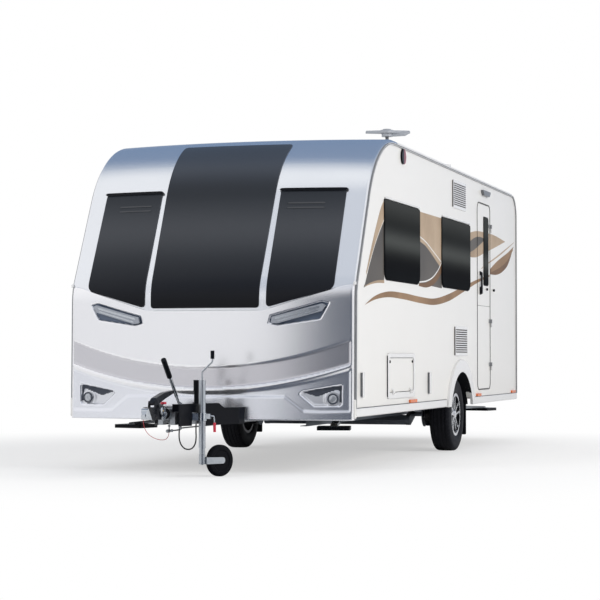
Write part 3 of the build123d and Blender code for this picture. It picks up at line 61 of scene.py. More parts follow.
def grid_faces(rows, columns, close_rows=False, close_columns=False):
    """Quads of a grid: cell (i, j) joins its four corners, wrapping round where the grid closes."""
    i = np.arange(rows if close_rows else rows - 1)[:, None]
    j = np.arange(columns if close_columns else columns - 1)[None, :]
    i2, j2 = (i + 1) % rows, (j + 1) % columns
    quads = [i * columns + j, i2 * columns + j, i2 * columns + j2, i * columns + j2]
    return np.stack([np.broadcast_to(q, (i.shape[0], j.shape[1])) for q in quads], axis=-1).reshape(-1, 4)


def add_object(name, data):
    """A new object in the scene, showing a mesh, a curve, a lamp or a camera."""
    thing = bpy.data.objects.new(name, data)
    bpy.context.scene.collection.objects.link(thing)
    return thing


def make_piece(name, points, faces, material, body=ROOT, smooth=True):
    """A mesh object from an array of points and an array or a list of faces, riding on a body."""
    mesh = bpy.data.meshes.new(name)
    faces = faces.tolist() if isinstance(faces, np.ndarray) else faces
    mesh.from_pydata(np.asarray(points).reshape(-1, 3).tolist(), [], faces)
    mesh.polygons.foreach_set("use_smooth", [smooth] * len(mesh.polygons))
    mesh.materials.append(material)
    piece = add_object(name, mesh)
    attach(piece, body)
    return piece


def box_corners(low, high):
    """The eight corners of a box between two points, in the order that BOX_FACES joins them."""
    return np.array([[x, y, z] for x in (low[0], high[0]) for y in (low[1], high[1]) for z in (low[2], high[2])])


def box_piece(name, low, high, material, bevel=0.0):
    """A box between two points; where a bevel is given, a modifier rounds its edges."""
    piece = make_piece(name, box_corners(low, high), BOX_FACES, material, smooth=False)
    if bevel:
        rounding = piece.modifiers.new("round", "BEVEL")
        rounding.width, rounding.segments = bevel, 2


# %% [markdown]
# A finish is a small graph of shader nodes. Such a graph could be joined by hand in the node editor,
# but dozens of them come out quicker and more even from one helper: it makes a node, sets its
# options and fills each input with a number or a link. A second helper makes a ramp of colours.


# %% Shader nodes
def add_node(tree, kind, inputs=(), **settings):
    """A shader node: settings are its own options; each input takes a value, or a link from a socket."""
    made = tree.nodes.new("ShaderNode" + kind)
    for word, value in settings.items():
        setattr(made, word, value)
    for socket, value in dict(inputs).items():
        if isinstance(value, bpy.types.NodeSocket):
            tree.links.new(value, made.inputs[socket])
        else:
            made.inputs[socket].default_value = value
    return made


def colour_ramp(tree, factor, stops, interpolation="LINEAR"):
    """Colour by place: each stop is (place, colour), and the colours between them are blended."""
    made = add_node(tree, "ValToRGB", {"Fac": factor})
    made.color_ramp.interpolation = interpolation
    while len(made.color_ramp.elements) < len(stops):
        made.color_ramp.elements.new(0.5)
    for element, (place, colour) in zip(made.color_ramp.elements, stops):
        element.position, element.color = place, (*colour, 1)
    return made.outputs["Color"]


def set_inputs(shader, **values):
    """Plain numbers on a shader's own sockets: Coat_Weight stands for the socket Coat Weight."""
    for word, value in values.items():
        shader.inputs[word.replace("_", " ")].default_value = value


# %% [markdown]
# Real finishes are never one flat colour: paint has a faint orange peel, zinc has its crystal
# pattern, plastic has a fine grain. Each material below mixes two close colours with noise in
# Object coordinates, varies the roughness a little, and adds a very small bump. Window acrylic also
# gets painted reflections: its colour changes with height in light and dark bands.


# %% Kinds of finish
def new_material(name):
    """A material with its node tree and the Principled shader in it."""
    material = bpy.data.materials.new(name)
    material.use_nodes = True
    tree = material.node_tree
    return material, tree, tree.nodes["Principled BSDF"]


def finish(name, tone, second, roughness, metallic=0.0, coat=0.0, scale=8.0, grain=0.0, grain_scale=600.0, ior=1.5,
           coat_roughness=0.08):
    """Principled surface: base colour = mix(tone, second, noise), with a fine bump from a second noise."""
    material, tree, shader = new_material(name)
    set_inputs(shader, Metallic=metallic, Coat_Weight=coat, IOR=ior, Coat_Roughness=coat_roughness)
    where = add_node(tree, "TexCoord").outputs["Object"]
    cloud = add_node(tree, "TexNoise", {"Vector": where, "Scale": scale, "Detail": 4.0}).outputs["Fac"]
    blend = add_node(tree, "Mix", {"Factor": cloud, "A": (*tone, 1), "B": (*second, 1)}, data_type="RGBA", name="tones")
    gloss = add_node(tree, "MapRange",
                     {"Value": cloud, "To Min": roughness * 0.85, "To Max": min(1.0, roughness * 1.15)})
    tree.links.new(blend.outputs["Result"], shader.inputs["Base Color"])
    tree.links.new(gloss.outputs["Result"], shader.inputs["Roughness"])
    if grain:
        fine = add_node(tree, "TexNoise", {"Vector": where, "Scale": grain_scale})
        bump = add_node(tree, "Bump", {"Height": fine.outputs["Fac"], "Strength": grain, "Distance": 0.001})
        tree.links.new(bump.outputs["Normal"], shader.inputs["Normal"])
    return material


def pane(name, z_low, z_high, stops, ior=1.22):
    """Dark acrylic with painted reflections: a colour by height is added, ramp((z - z_low) / (z_high - z_low))."""
    material = finish(name, (0.004, 0.004, 0.005), (0.006, 0.0065, 0.008), 0.12, scale=1.5, ior=ior)
    tree = material.node_tree
    parts = add_node(tree, "SeparateXYZ", {0: add_node(tree, "TexCoord").outputs["Object"]})
    height = add_node(tree, "MapRange", {"Value": parts.outputs["Z"], "From Min": z_low, "From Max": z_high})
    second_colour = colour_ramp(tree, height.outputs["Result"], stops, "B_SPLINE")
    total = add_node(tree, "Mix", {"Factor": 1.0, "A": tree.nodes["tones"].outputs["Result"], "B": second_colour},
                     data_type="RGBA", blend_type="ADD")
    tree.links.new(total.outputs["Result"], tree.nodes["Principled BSDF"].inputs["Base Color"])
    return material


# %% [markdown]
# The list of finishes. The moulded front is a metallic gel coat with a soft clear coat over it, so
# three of its tones share one setting: the pale front, and the darker band and apron, which are
# painted shade. Most blacks have a low index, so that they stay black in the light.

# %% Finishes
GEL = {"coat": 0.15, "scale": 2.0, "coat_roughness": 0.3}
wall_paint = finish("wall_paint", (0.82, 0.805, 0.775), (0.79, 0.775, 0.745), 0.30, coat=0.25, scale=1.2)
white_moulding = finish("white_moulding", (0.80, 0.795, 0.79), (0.77, 0.765, 0.76), 0.25, coat=0.4, scale=3.0)
pale_front = finish("pale_front", (0.95, 0.945, 0.955), (0.93, 0.925, 0.935), 0.20, metallic=0.88, **GEL)
# painted shade: the next five tones darken the front's band, pods, pod wedges, apron and grip pockets; the wedge tone
# also colours the lamps' own dark rims
band_painted_shade = finish("band_painted_shade", (0.68, 0.665, 0.69), (0.64, 0.63, 0.655), 0.20, metallic=0.8, **GEL)
pod_painted_shade = finish("pod_painted_shade", (0.76, 0.77, 0.80), (0.70, 0.71, 0.74), 0.30, metallic=0.6, coat=0.2, scale=2.0)
pod_shade_and_rim_grey = finish("pod_shade_and_rim_grey", (0.045, 0.052, 0.068), (0.065, 0.072, 0.090), 0.45, scale=20.0, ior=1.3)
apron_painted_shade = finish("apron_painted_shade", (0.85, 0.86, 0.90), (0.82, 0.83, 0.87), 0.20, metallic=0.88, **GEL)
pocket_painted_shade = finish("pocket_painted_shade", (0.10, 0.13, 0.19), (0.07, 0.095, 0.14), 0.4, coat=0.2, scale=6.0,
                     coat_roughness=0.3)
lamp_glass = finish("lamp_glass", (0.50, 0.52, 0.55), (0.38, 0.40, 0.43), 0.1, metallic=0.5, coat=1.0, scale=40.0)
red_plastic = finish("red_plastic", (0.60, 0.02, 0.05), (0.50, 0.015, 0.04), 0.35, coat=0.4, scale=30.0)
silver_front = finish("silver_front", (0.84, 0.855, 0.88), (0.80, 0.815, 0.845), 0.20, metallic=0.9, coat=0.3,
                      scale=2.5, coat_roughness=0.2)
BLACK = (0.0, 0.0, 0.0)
# painted reflections: light and dark bands across the panes by height
front_acrylic = pane("front_acrylic", 1.21, 2.48, (
    (0.0, BLACK), (0.12, (0.004, 0.005, 0.008)), (0.30, (0.022, 0.025, 0.030)), (0.46, (0.070, 0.074, 0.082)),
    (0.62, (0.026, 0.030, 0.036)), (0.74, (0.016, 0.019, 0.024)), (0.86, (0.062, 0.074, 0.096)),
    (1.0, (0.040, 0.048, 0.060))))
side_acrylic = pane("side_acrylic", 1.44, 2.05, (
    (0.0, (0.003, 0.004, 0.004)), (0.22, BLACK), (0.36, (0.012, 0.013, 0.012)), (0.49, (0.075, 0.080, 0.076)),
    (0.62, (0.022, 0.024, 0.023)), (0.74, (0.010, 0.011, 0.010)), (0.90, (0.034, 0.036, 0.034)),
    (1.0, (0.040, 0.042, 0.040))), 1.012)
roof_sheet = finish("roof_sheet", (0.78, 0.78, 0.77), (0.74, 0.74, 0.73), 0.38, scale=5.0, grain=0.15, grain_scale=90)
floor_ply = finish("floor_ply", (0.16, 0.12, 0.08), (0.10, 0.075, 0.05), 0.7, scale=14.0, grain=0.3, grain_scale=120)
black_moulding = finish("black_moulding", (0.002, 0.0026, 0.005), (0.0035, 0.0042, 0.007), 0.30, scale=10, grain=0.12,
                        grain_scale=900, ior=1.22)
black_rubber = finish("black_rubber", (0.003, 0.0034, 0.005), (0.006, 0.0065, 0.009), 0.6, scale=14, grain=0.15,
                      ior=1.22)
tyre_rubber = finish("tyre_rubber", (0.005, 0.0055, 0.008), (0.010, 0.0105, 0.014), 0.62, scale=10, grain=0.2,
                     grain_scale=700, ior=1.25)
zinc = finish("zinc", (0.30, 0.32, 0.34), (0.46, 0.48, 0.50), 0.40, metallic=0.9, scale=45.0, grain=0.08,
              grain_scale=300)
tube_zinc = finish("tube_zinc", (0.40, 0.43, 0.46), (0.56, 0.59, 0.62), 0.34, metallic=0.85, scale=55.0, grain=0.06,
                   grain_scale=300)
dull_zinc = finish("dull_zinc", (0.10, 0.12, 0.15), (0.17, 0.19, 0.22), 0.5, metallic=0.7, scale=45.0, grain=0.08,
                   grain_scale=300)
bright_zinc = finish("bright_zinc", (0.50, 0.53, 0.56), (0.64, 0.67, 0.70), 0.24, metallic=1.0, scale=60.0)
# also painted shade: the rims' inner barrels take this black
cast_black = finish("cast_black", (0.004, 0.0045, 0.007), (0.009, 0.0095, 0.012), 0.28, scale=30, grain=0.15,
                    grain_scale=260, ior=1.32)
alloy_face = finish("alloy_face", (0.66, 0.67, 0.69), (0.74, 0.75, 0.77), 0.26, metallic=0.8, coat=0.4, scale=12.0)
rail_alloy = finish("rail_alloy", (0.72, 0.72, 0.72), (0.66, 0.66, 0.66), 0.35, metallic=0.3, scale=10.0)
# also painted shade on the wall mouldings' edges
grey_trim_and_shade = finish("grey_trim_and_shade", (0.10, 0.105, 0.115), (0.14, 0.145, 0.155), 0.35, coat=0.3, scale=9.0)
louvre_grey = finish("louvre_grey", (0.085, 0.088, 0.094), (0.065, 0.068, 0.074), 0.6, scale=9.0, ior=1.2)
grip_grey = finish("grip_grey", (0.38, 0.40, 0.44), (0.30, 0.32, 0.36), 0.30, metallic=0.3, coat=0.3, scale=9.0)
aerial_grey = finish("aerial_grey", (0.36, 0.38, 0.42), (0.42, 0.44, 0.47), 0.35, coat=0.3, scale=8.0)
red_lens = finish("red_lens", (0.26, 0.008, 0.015), (0.18, 0.005, 0.01), 0.15, coat=0.3, scale=60.0)
amber_lens = finish("amber_lens", (0.80, 0.17, 0.008), (0.66, 0.11, 0.004), 0.15, coat=0.25, scale=60.0)
# also painted shade on the hatch frame's edges
seal_grey_and_shade = finish("seal_grey_and_shade", (0.020, 0.020, 0.021), (0.014, 0.014, 0.015), 0.6, scale=20.0, ior=1.3)
# painted shade in the vent slots and on their fore edges
slot_painted_shade = finish("slot_painted_shade", (0.030, 0.022, 0.018), (0.018, 0.013, 0.010), 0.6, scale=30.0, ior=1.3)
brass = finish("brass", (0.52, 0.38, 0.18), (0.62, 0.47, 0.24), 0.3, metallic=0.9, scale=80.0)
# painted shade on the awning rail's inner faces; also the real grey of the door hinges
rail_shade_and_hinge_grey = finish("rail_shade_and_hinge_grey", (0.20, 0.205, 0.215), (0.26, 0.265, 0.275), 0.45, scale=9.0)
print("finishes made:", len(bpy.data.materials))

# %% [markdown]
# Some parts carry two finishes on one CAD node: a marker lamp is amber by the sill and red near the
# roof. On others the second finish is painted shade: in a vent's slots and on its fore edges, on
# the hatch frame's edges, the mouldings' edges, the awning rail's inner faces and the rims' inner
# barrels. A second finish is chosen per face, by a mask worked out on the face centres, so the CAD
# mesh itself stays untouched. The masks that need more than one comparison come first, each with
# its limits in metres.


# %% Where the second finishes go
def face_centres(thing):
    """Centre of every face, as an array of (x, y, z)."""
    flat = np.empty(len(thing.data.polygons) * 3)
    thing.data.polygons.foreach_get("center", flat)
    return flat.reshape(-1, 3)


def coat(names, first, second=None, mask=None):
    """Give CAD nodes a finish, and a second one on the faces where mask(x, y, z) is true."""
    for name in names.split():
        thing = node[name]
        thing.data.materials.clear()
        thing.data.materials.append(first)
        if second:
            thing.data.materials.append(second)
            x, y, z = face_centres(thing).T
            thing.data.polygons.foreach_set("material_index", mask(x, y, z).astype(int))


def in_arch(x, y, z):
    """True on the edges of the wheel arch, in the wall and in the spat, but not on the wall's own face."""
    reach, spat_face, wall_margin = 0.43, 1.129, 0.0005
    under = np.hypot(y - WHEEL_MIDDLE[1], z - WHEEL_MIDDLE[2]) < reach
    return under & (abs(x) < spat_face) & (abs(abs(x) - WALL_X) > wall_margin)


def hatch_frame_shade(x, y, z):
    """Painted shade on the hatch frame: the faces behind its face, at its fore, lower and upper edge."""
    face, fore, low, top = 1.1175, -1.540, 0.5245, 0.8645
    return (x < face) & ((y < fore) | (z < low) | (z > top))


def vent_shade(x, y, z):
    """Painted shade: true in the slots of both vents, which lie evenly above and below the middle, and at their fore
    edges.
    """
    face, upper_fore, lower_fore, below = 1.1192, 0.7702, (0.8395, 0.8402), 1.2
    middle, apart, half_high = 1.640, 0.652, 0.112
    slots = (abs(abs(z - middle) - apart) < half_high) & (abs(y - 1.065) < 0.27)
    edges = (y < upper_fore) | ((y > lower_fore[0]) & (y < lower_fore[1]) & (z < below))
    return (x < face) & (edges | slots)


def awning_lamp_and_moulding_shade(x, y, z):
    """True on the grey awning lamp, and on the fore and the lower edge of both upright mouldings, which carry painted
    shade.
    """
    awning_lamp = z > 2
    fore_moulding_shade = (y < -2.313) | ((y < -1) & (z < 0.551))
    aft_moulding_shade = ((y > -0.192) & (y < -0.188)) | (z < 0.535)
    return awning_lamp | fore_moulding_shade | aft_moulding_shade


def on_pads(x, y, z):
    """True on the coupling's bright metal: the cheeks round the friction pads, and the lip at the front."""
    cheek, pads, lip, lip_top = 0.040, (-3.70, -3.50), -3.745, 0.506
    return ((abs(x) > cheek) & (y > pads[0]) & (y < pads[1])) | ((y < lip) & (z < lip_top))


# %% [markdown]
# Now each CAD node gets its finish. A short mask is written in place, as a comparison with the
# height or the place where one finish meets the other.

# %% Put the finishes on the CAD nodes
coat("entrance_door locker_hatch", wall_paint)
coat("side_wall_left side_wall_right", wall_paint, black_rubber, in_arch)
coat("rear_panel rear_bumper skirt_rails", white_moulding)
coat("wheel_spats", white_moulding, black_rubber, in_arch)
# painted shade on the hatch frame's fore, lower and upper edges
coat("hatch_frame", white_moulding, seal_grey_and_shade, hatch_frame_shade)
coat("door_hinge_pins", rail_alloy, black_moulding, lambda x, y, z: y > 2.50)
coat("front_lamps", lamp_glass)
coat("front_upper_panel", silver_front)
coat("front_windows", front_acrylic)
coat("side_windows door_window", side_acrylic)
coat("roof_panel", roof_sheet)
coat("roof_fittings", white_moulding, grey_trim_and_shade, lambda x, y, z: (y < -0.6) & (abs(x) > 0.5) & (z > 2.556))
coat("floor_panel", floor_ply)
# painted shade: dark brown in the vent slots and along the vents' fore edges
coat("vent_grilles", white_moulding, slot_painted_shade, vent_shade)
# painted shade on the mouldings' fore and lower edges; the awning lamp is grey
coat("wall_fittings", white_moulding, grey_trim_and_shade, awning_lamp_and_moulding_shade)
coat("marker_lamps", amber_lens, red_lens, lambda x, y, z: z > 1.5)
node["marker_lamps"].data.materials.append(black_moulding)
for face in node["marker_lamps"].data.polygons:
    if face.center.z > 1.5 and face.center.y < -1.048:      # the fore half of the high lamps is their holder
        face.material_index = 2
coat("steady_front_left steady_front_right steady_rear_left steady_rear_right", zinc, black_moulding,
     lambda x, y, z: z < 0.3225)
coat("rear_lamps", red_lens)
# painted shade on the awning rail's inner faces, next to the wall
coat("awning_rails", rail_alloy, rail_shade_and_hinge_grey, lambda x, y, z: abs(x) < 1.1203)
coat("grab_handles", grip_grey, white_moulding, lambda x, y, z: y > 3)
coat("door_fittings", black_moulding, rail_shade_and_hinge_grey, lambda x, y, z: y > 2.36)
coat("aerial_head rooflight_lid_front rooflight_lid_rear", aerial_grey)
coat("drawbar_legs brake_rod coupling_housing", zinc)
coat("chassis_frame axle_tube swing_arms steady_brackets", dull_zinc)
coat("jockey_spindle jockey_fork", tube_zinc)
coat("jockey_tube", tube_zinc, black_moulding, lambda x, y, z: (z > 0.831) & (x > 0.24))
coat("jockey_clamp", bright_zinc, red_plastic, lambda x, y, z: z < 0.384)
coat("handbrake_lever", bright_zinc, black_moulding, lambda x, y, z: z > 0.70)
coat("coupling_head", cast_black, bright_zinc, on_pads)
coat("stabiliser_handle", cast_black)
coat("drawbar_cover", black_moulding)
coat("gaiter wheel_boxes lead_plug cable_holders jockey_wheel", black_rubber)
# painted shade: the inner barrel of each rim is painted black
coat("rim_left rim_right", alloy_face, cast_black, lambda x, y, z: abs(x) < 1.034)
print("nodes in the frame:", len(node))

# %% [markdown]
# A free cord is its own curve: the control points are the corners of its route, and a NURBS curve
# of order 3 rounds each corner as the bent cable does. The bevel depth is the cable's radius. The
# towing lead hangs in one loop from its gland to its parked plug; the breakaway cable hangs from
# the hook under the coupling's housing to the ring on its head.

# %% Towing lead and breakaway cable
LEAD_ROUTE = [(-.092, -2.866, .384), (-.092, -2.866, .324), (-.094, -2.869, .260), (-.080, -2.870, .212),
              (-.046, -2.871, .179), (.002, -2.874, .179), (.035, -2.880, .213), (.047, -2.892, .263),
              (.050, -2.906, .310), (.064, -2.942, .362), (.082, -2.985, .404), (.090, -3.006, .440),
              (.090, -3.006, .482)]
CABLE_ROUTE = [(-.050, -3.180, .345), (-.050, -3.180, .312), (-.050, -3.198, .284), (-.050, -3.234, .268),
               (-.050, -3.282, .264), (-.050, -3.335, .266), (-.050, -3.388, .271), (-.050, -3.440, .279),
               (-.050, -3.491, .289), (-.050, -3.541, .303), (-.050, -3.588, .320), (-.050, -3.629, .344),
               (-.050, -3.658, .372), (-.050, -3.674, .410), (-.050, -3.674, .448)]
lead_jacket = finish("lead_jacket", (0.010, 0.010, 0.011), (0.018, 0.018, 0.019), 0.5, scale=40.0)
red_sleeve = finish("red_sleeve", (0.55, 0.02, 0.03), (0.42, 0.015, 0.02), 0.3, coat=0.5, scale=40.0)


def free_cord(name, route, radius, material, replaced):
    """A NURBS curve of order 3 through the ends of its route, rounding each of its corners."""
    line = bpy.data.curves.new(name, "CURVE")
    line.dimensions = "3D"
    spline = line.splines.new("NURBS")
    spline.points.add(len(route) - 1)
    spline.points.foreach_set("co", [v for point in route for v in (*point, 1.0)])
    spline.order_u = 3
    spline.use_endpoint_u = True
    spline.resolution_u = 12
    line.bevel_depth, line.bevel_resolution = radius, 4
    line.use_fill_caps = True
    line.materials.append(material)
    cord = add_object(name, line)
    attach(cord, ROOT)
    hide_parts(replaced)
    return cord


lead = free_cord("towing_lead_jacket", LEAD_ROUTE, 0.005, lead_jacket, "towing_lead")
cable = free_cord("breakaway_wire", CABLE_ROUTE, 0.002, red_sleeve, "breakaway_cable")

# %% [markdown]
# The stripes are cut vinyl. Each is a ribbon on the wall: for every position along the wall there
# is a lower and an upper edge, both smooth curves through a few heights. The ribbon is a grid of
# two parameters, along and across, lying half a millimetre off the wall. Where a ribbon crosses the
# entrance door it is cut at the gap, and the middle piece rides on the door.

# %% Stripes on the side walls
DOOR_EDGES = (1.8365, 2.4135)       # the door leaf's edges along the wall
DOOR_GAP = 0.0065
VINYL_PROUD, VINYL_BACK, VINYL_LEAST = 0.0006, 0.0001, 0.0004      # face and back off the wall, least width
VINYL_STEPS = 90


def smooth_curve(stations, heights, along):
    """Smooth curve through (station, height): cubic pieces with slopes from central differences."""
    stations, heights = np.asarray(stations, float), np.asarray(heights, float)
    slopes = np.gradient(heights, stations)
    k = np.clip(np.searchsorted(stations, along) - 1, 0, len(stations) - 2)
    h = stations[k + 1] - stations[k]
    t = (along - stations[k]) / h
    return ((2 * t**3 - 3 * t**2 + 1) * heights[k] + (t**3 - 2 * t**2 + t) * h * slopes[k]
            + (3 * t**2 - 2 * t**3) * heights[k + 1] + (t**3 - t**2) * h * slopes[k + 1])


def vinyl(name, stations, lower, upper, material, side=1, body=ROOT, start=None, end=None, proud=VINYL_PROUD):
    """A ribbon between two curves: point(u, v) = (wall face, along(u), mix(lower, upper, v)), given a skin."""
    along = np.linspace(stations[0] if start is None else start, stations[-1] if end is None else end, VINYL_STEPS)
    low, high = smooth_curve(stations, lower, along), smooth_curve(stations, upper, along)
    high = np.maximum(high, low + VINYL_LEAST)
    across = np.linspace(0, 1, 5)[None, :]
    z = low[:, None] * (1 - across) + high[:, None] * across
    y = np.broadcast_to(along[:, None], z.shape)
    face = np.stack([np.full_like(z, side * (WALL_X + proud)), y, z], axis=-1)
    back = face.copy()
    back[..., 0] = side * (WALL_X + VINYL_BACK)
    ring = np.concatenate([face, back[:, ::-1]], axis=1)
    rows, width = ring.shape[:2]
    ends = [np.arange(width)[::-1], np.arange(width) + (rows - 1) * width]
    faces = grid_faces(rows, width, close_columns=True).tolist() + [end.tolist() for end in ends]
    make_piece(name, ring, [face[::-1] for face in faces] if side > 0 else faces, material, body, smooth=False)


def vinyl_over_door(name, stations, lower, upper, material, proud=VINYL_PROUD):
    """The same ribbon in three lengths: on the wall, on the door leaf, and on the wall again."""
    d0, d1 = DOOR_EDGES
    if stations[0] < d0 - DOOR_GAP:
        vinyl(name + "_fore", stations, lower, upper, material, end=d0 - DOOR_GAP, proud=proud)
    vinyl(name + "_door", stations, lower, upper, material, body="door", start=max(d0, stations[0]),
          end=min(d1, stations[-1]), proud=proud)
    if stations[-1] > d1 + DOOR_GAP:
        vinyl(name + "_aft", stations, lower, upper, material, start=d1 + DOOR_GAP, proud=proud)


# %% [markdown]
# The design is a long wave under the windows, smoky and beige panels before and between the panes,
# and a spray of leaves over the door and behind it. Where two overlap, the upper one stands a hair
# further out, so that neither flickers. The far wall repeats the wave and the panels.

# %% The printed design
beige = finish("beige_vinyl", (0.42, 0.26, 0.14), (0.11, 0.06, 0.028), 0.35, scale=1.9, ior=1.15)
pale_beige = finish("pale_beige_vinyl", (0.60, 0.47, 0.34), (0.19, 0.12, 0.065), 0.35, scale=1.9, ior=1.15)
brown = finish("brown_vinyl", (0.07, 0.035, 0.014), (0.24, 0.13, 0.06), 0.35, scale=2.6, ior=1.15)
smoke = finish("smoke_vinyl", (0.028, 0.026, 0.024), (0.15, 0.135, 0.12), 0.35, scale=1.8, ior=1.15)

WAVE_Y = [-2.19, -1.95, -1.55, -1.05, -0.45, 0.05, 0.60, 1.15, 1.75, 2.40]
WAVE_LOW = [1.228, 1.268, 1.302, 1.302, 1.286, 1.283, 1.330, 1.418, 1.522, 1.618]
WAVE_TOP = [1.229, 1.292, 1.345, 1.352, 1.338, 1.338, 1.392, 1.470, 1.556, 1.632]
vinyl_over_door("wave_stripe", WAVE_Y, WAVE_LOW, WAVE_TOP, beige)
vinyl("wave_stripe_far", WAVE_Y, WAVE_LOW, WAVE_TOP, beige, side=-1)

# name, finish, proud, stations, lower edge, upper edge
PANELS = (
    ("bow_smoke", smoke, 0.0006, [-2.22, -2.05, -1.90, -1.75, -1.625],
     [1.355, 1.385, 1.405, 1.415, 1.420], [1.358, 1.545, 1.690, 1.810, 1.895]),
    ("bow_beige", pale_beige, 0.0009, [-2.15, -2.00, -1.85, -1.72, -1.625],
     [1.450, 1.602, 1.730, 1.825, 1.890], [1.475, 1.670, 1.845, 1.980, 2.045]),
    ("bow_line", pale_beige, 0.0012, [-2.20, -2.00, -1.80, -1.625],
     [1.362, 1.388, 1.404, 1.408], [1.366, 1.402, 1.424, 1.432]),
    ("mid_smoke", smoke, 0.0006, [-0.495, -0.25, 0.00, 0.20, 0.345],
     [1.450, 1.446, 1.440, 1.436, 1.434], [1.835, 1.800, 1.740, 1.690, 1.655]),
    ("mid_beige", pale_beige, 0.0009, [-0.495, -0.25, 0.00, 0.20, 0.345],
     [1.800, 1.765, 1.700, 1.640, 1.600], [2.040, 2.040, 2.040, 2.040, 2.040]),
    ("mid_brown", brown, 0.0012, [-0.495, -0.20, 0.05, 0.25, 0.345],
     [1.425, 1.424, 1.462, 1.530, 1.575], [1.448, 1.470, 1.520, 1.600, 1.650]),
)
# name, stations, lower edge, width of the pale edge
EDGES = (
    ("bow_edge", [-2.20, -2.05, -1.90, -1.75, -1.635], [1.372, 1.541, 1.686, 1.806, 1.889], 0.008),
    ("mid_edge", [-0.485, -0.25, 0.00, 0.20, 0.335], [1.832, 1.797, 1.737, 1.687, 1.652], 0.010),
    ("mid_sweep", [-0.485, -0.20, 0.05, 0.25, 0.335], [1.452, 1.474, 1.524, 1.604, 1.652], 0.012),
)
PANELS += tuple((name, wall_paint, 0.0015, stations, heights, [z + wide for z in heights])
                for name, stations, heights, wide in EDGES)
for name, colour, proud, stations, lower, upper in PANELS:
    vinyl(name, stations, lower, upper, colour, proud=proud)
    vinyl(name + "_far", stations, lower, upper, colour, side=-1, proud=proud)
vinyl_over_door("trail_beige", [1.478, 1.80, 2.15, 2.60, 3.18], [1.760, 1.775, 1.830, 1.900, 1.995],
                [1.985, 2.020, 2.030, 2.030, 2.000], pale_beige)
vinyl_over_door("trail_smoke", [1.478, 1.70, 1.95, 2.20], [1.800, 1.840, 1.900, 1.962],
                [1.900, 1.950, 1.975, 1.966], smoke, proud=0.0009)
vinyl("leaf_brown", [2.43, 2.75, 3.05, 3.35, 3.64], [1.640, 1.648, 1.690, 1.780, 1.970],
      [1.660, 1.745, 1.815, 1.885, 1.974], brown)
vinyl("leaf_beige", [2.43, 2.75, 3.05, 3.35, 3.60], [1.655, 1.700, 1.752, 1.830, 1.930],
      [1.690, 1.775, 1.838, 1.900, 1.960], beige, proud=0.0009)
vinyl_over_door("leaf_line", [2.00, 2.35, 2.80, 3.25, 3.66], [1.672, 1.738, 1.822, 1.918, 2.014],
                [1.676, 1.750, 1.838, 1.932, 2.018], pale_beige, proud=0.0009)

# %% [markdown]
# A tyre's tread is what makes it look real. The tyre is a profile turned about the axle, with the
# radius lowered where a groove runs: four grooves right round, and slanted cuts across the
# shoulders, all as one function of the angle and the place across the tread.

# %% Tyres with tread
SECTION = np.array([[-66, 176.5], [-76, 180], [-88, 196], [-96, 226], [-97, 250], [-94, 280], [-89.5, 302], [-84, 313],
                    [-76, 319.5], [-66, 323], [-40, 324.6], [0, 325], [40, 324.6], [66, 323], [76, 319.5], [84, 313],
                    [89.5, 302], [94, 280], [97, 250], [96, 226], [88, 196], [76, 180], [66, 176.5]]) / 1000
GROOVES = (-0.050, -0.017, 0.017, 0.050)
GROOVE_HALF, GROOVE_DEEP = 0.0042, 0.0075
CUTS, CUT_SLANT, CUT_SHARE = 64, 22, 0.2      # cuts round the tyre, pitches gained per metre across, share cut
SHOULDER_FROM, SHOULDER_RADIUS, SHOULDER_DEEP = 0.054, 0.304, 0.0055
MIDDLE_FROM, MIDDLE_TO, MIDDLE_DEEP = 0.022, 0.045, 0.004


def tyre_mesh(name, side, body, replaced):
    """r(angle, s) = section radius - groove depth(x) - cut depth(angle, x), turned about the axle."""
    lips = (-GROOVE_HALF - .001, -GROOVE_HALF, GROOVE_HALF, GROOVE_HALF + .001)
    edges = np.array([groove + lip for groove in GROOVES for lip in lips])
    steps = np.concatenate([[0], np.cumsum(np.hypot(*np.diff(SECTION, axis=0).T))])
    s = np.unique(np.concatenate([np.linspace(0, steps[-1], 60), np.interp(edges, SECTION[9:14, 0], steps[9:14])]))
    x, r = np.interp(s, steps, SECTION[:, 0]), np.interp(s, steps, SECTION[:, 1])
    turn = np.linspace(0, 2 * math.pi, CUTS * 8, endpoint=False)[:, None]
    groove = (np.abs(x[:, None] - np.array(GROOVES)[None, :]).min(axis=1) < GROOVE_HALF + 1e-5) * GROOVE_DEEP
    wave = (turn * CUTS / (2 * math.pi) + np.abs(x)[None, :] * CUT_SLANT) % 1.0
    shoulder = ((np.abs(x) > SHOULDER_FROM) & (r > SHOULDER_RADIUS))[None, :]
    middle = ((np.abs(x) > MIDDLE_FROM) & (np.abs(x) < MIDDLE_TO))[None, :]
    cut = (wave < CUT_SHARE) * (shoulder * SHOULDER_DEEP + middle * MIDDLE_DEEP)
    radius = r[None, :] - np.maximum(groove[None, :], cut)
    cx, cy, cz = WHEEL_MIDDLE
    across = np.broadcast_to(side * cx + side * x[None, :], radius.shape)
    points = np.stack([across, cy + radius * np.cos(turn), cz + radius * np.sin(turn)], axis=-1)
    faces = grid_faces(*radius.shape, close_rows=True, close_columns=True)
    piece = make_piece(name, points, faces if side < 0 else faces[:, ::-1], tyre_rubber, body)
    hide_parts(replaced)
    print(name, "faces", len(faces))


tyre_mesh("tyre_tread_left", 1, "wheel_left", "tyre_left")
tyre_mesh("tyre_tread_right", -1, "wheel_right", "tyre_right")

# %% [markdown]
# The front is bowed: seen from above it is a circle, whose radius shrinks as the panel leans back
# with height. It leans a little up to the knee, then follows an arc into the steeper upper slope.
# It could be lofted through sections, but with a formula for y every later piece lies on it exactly.


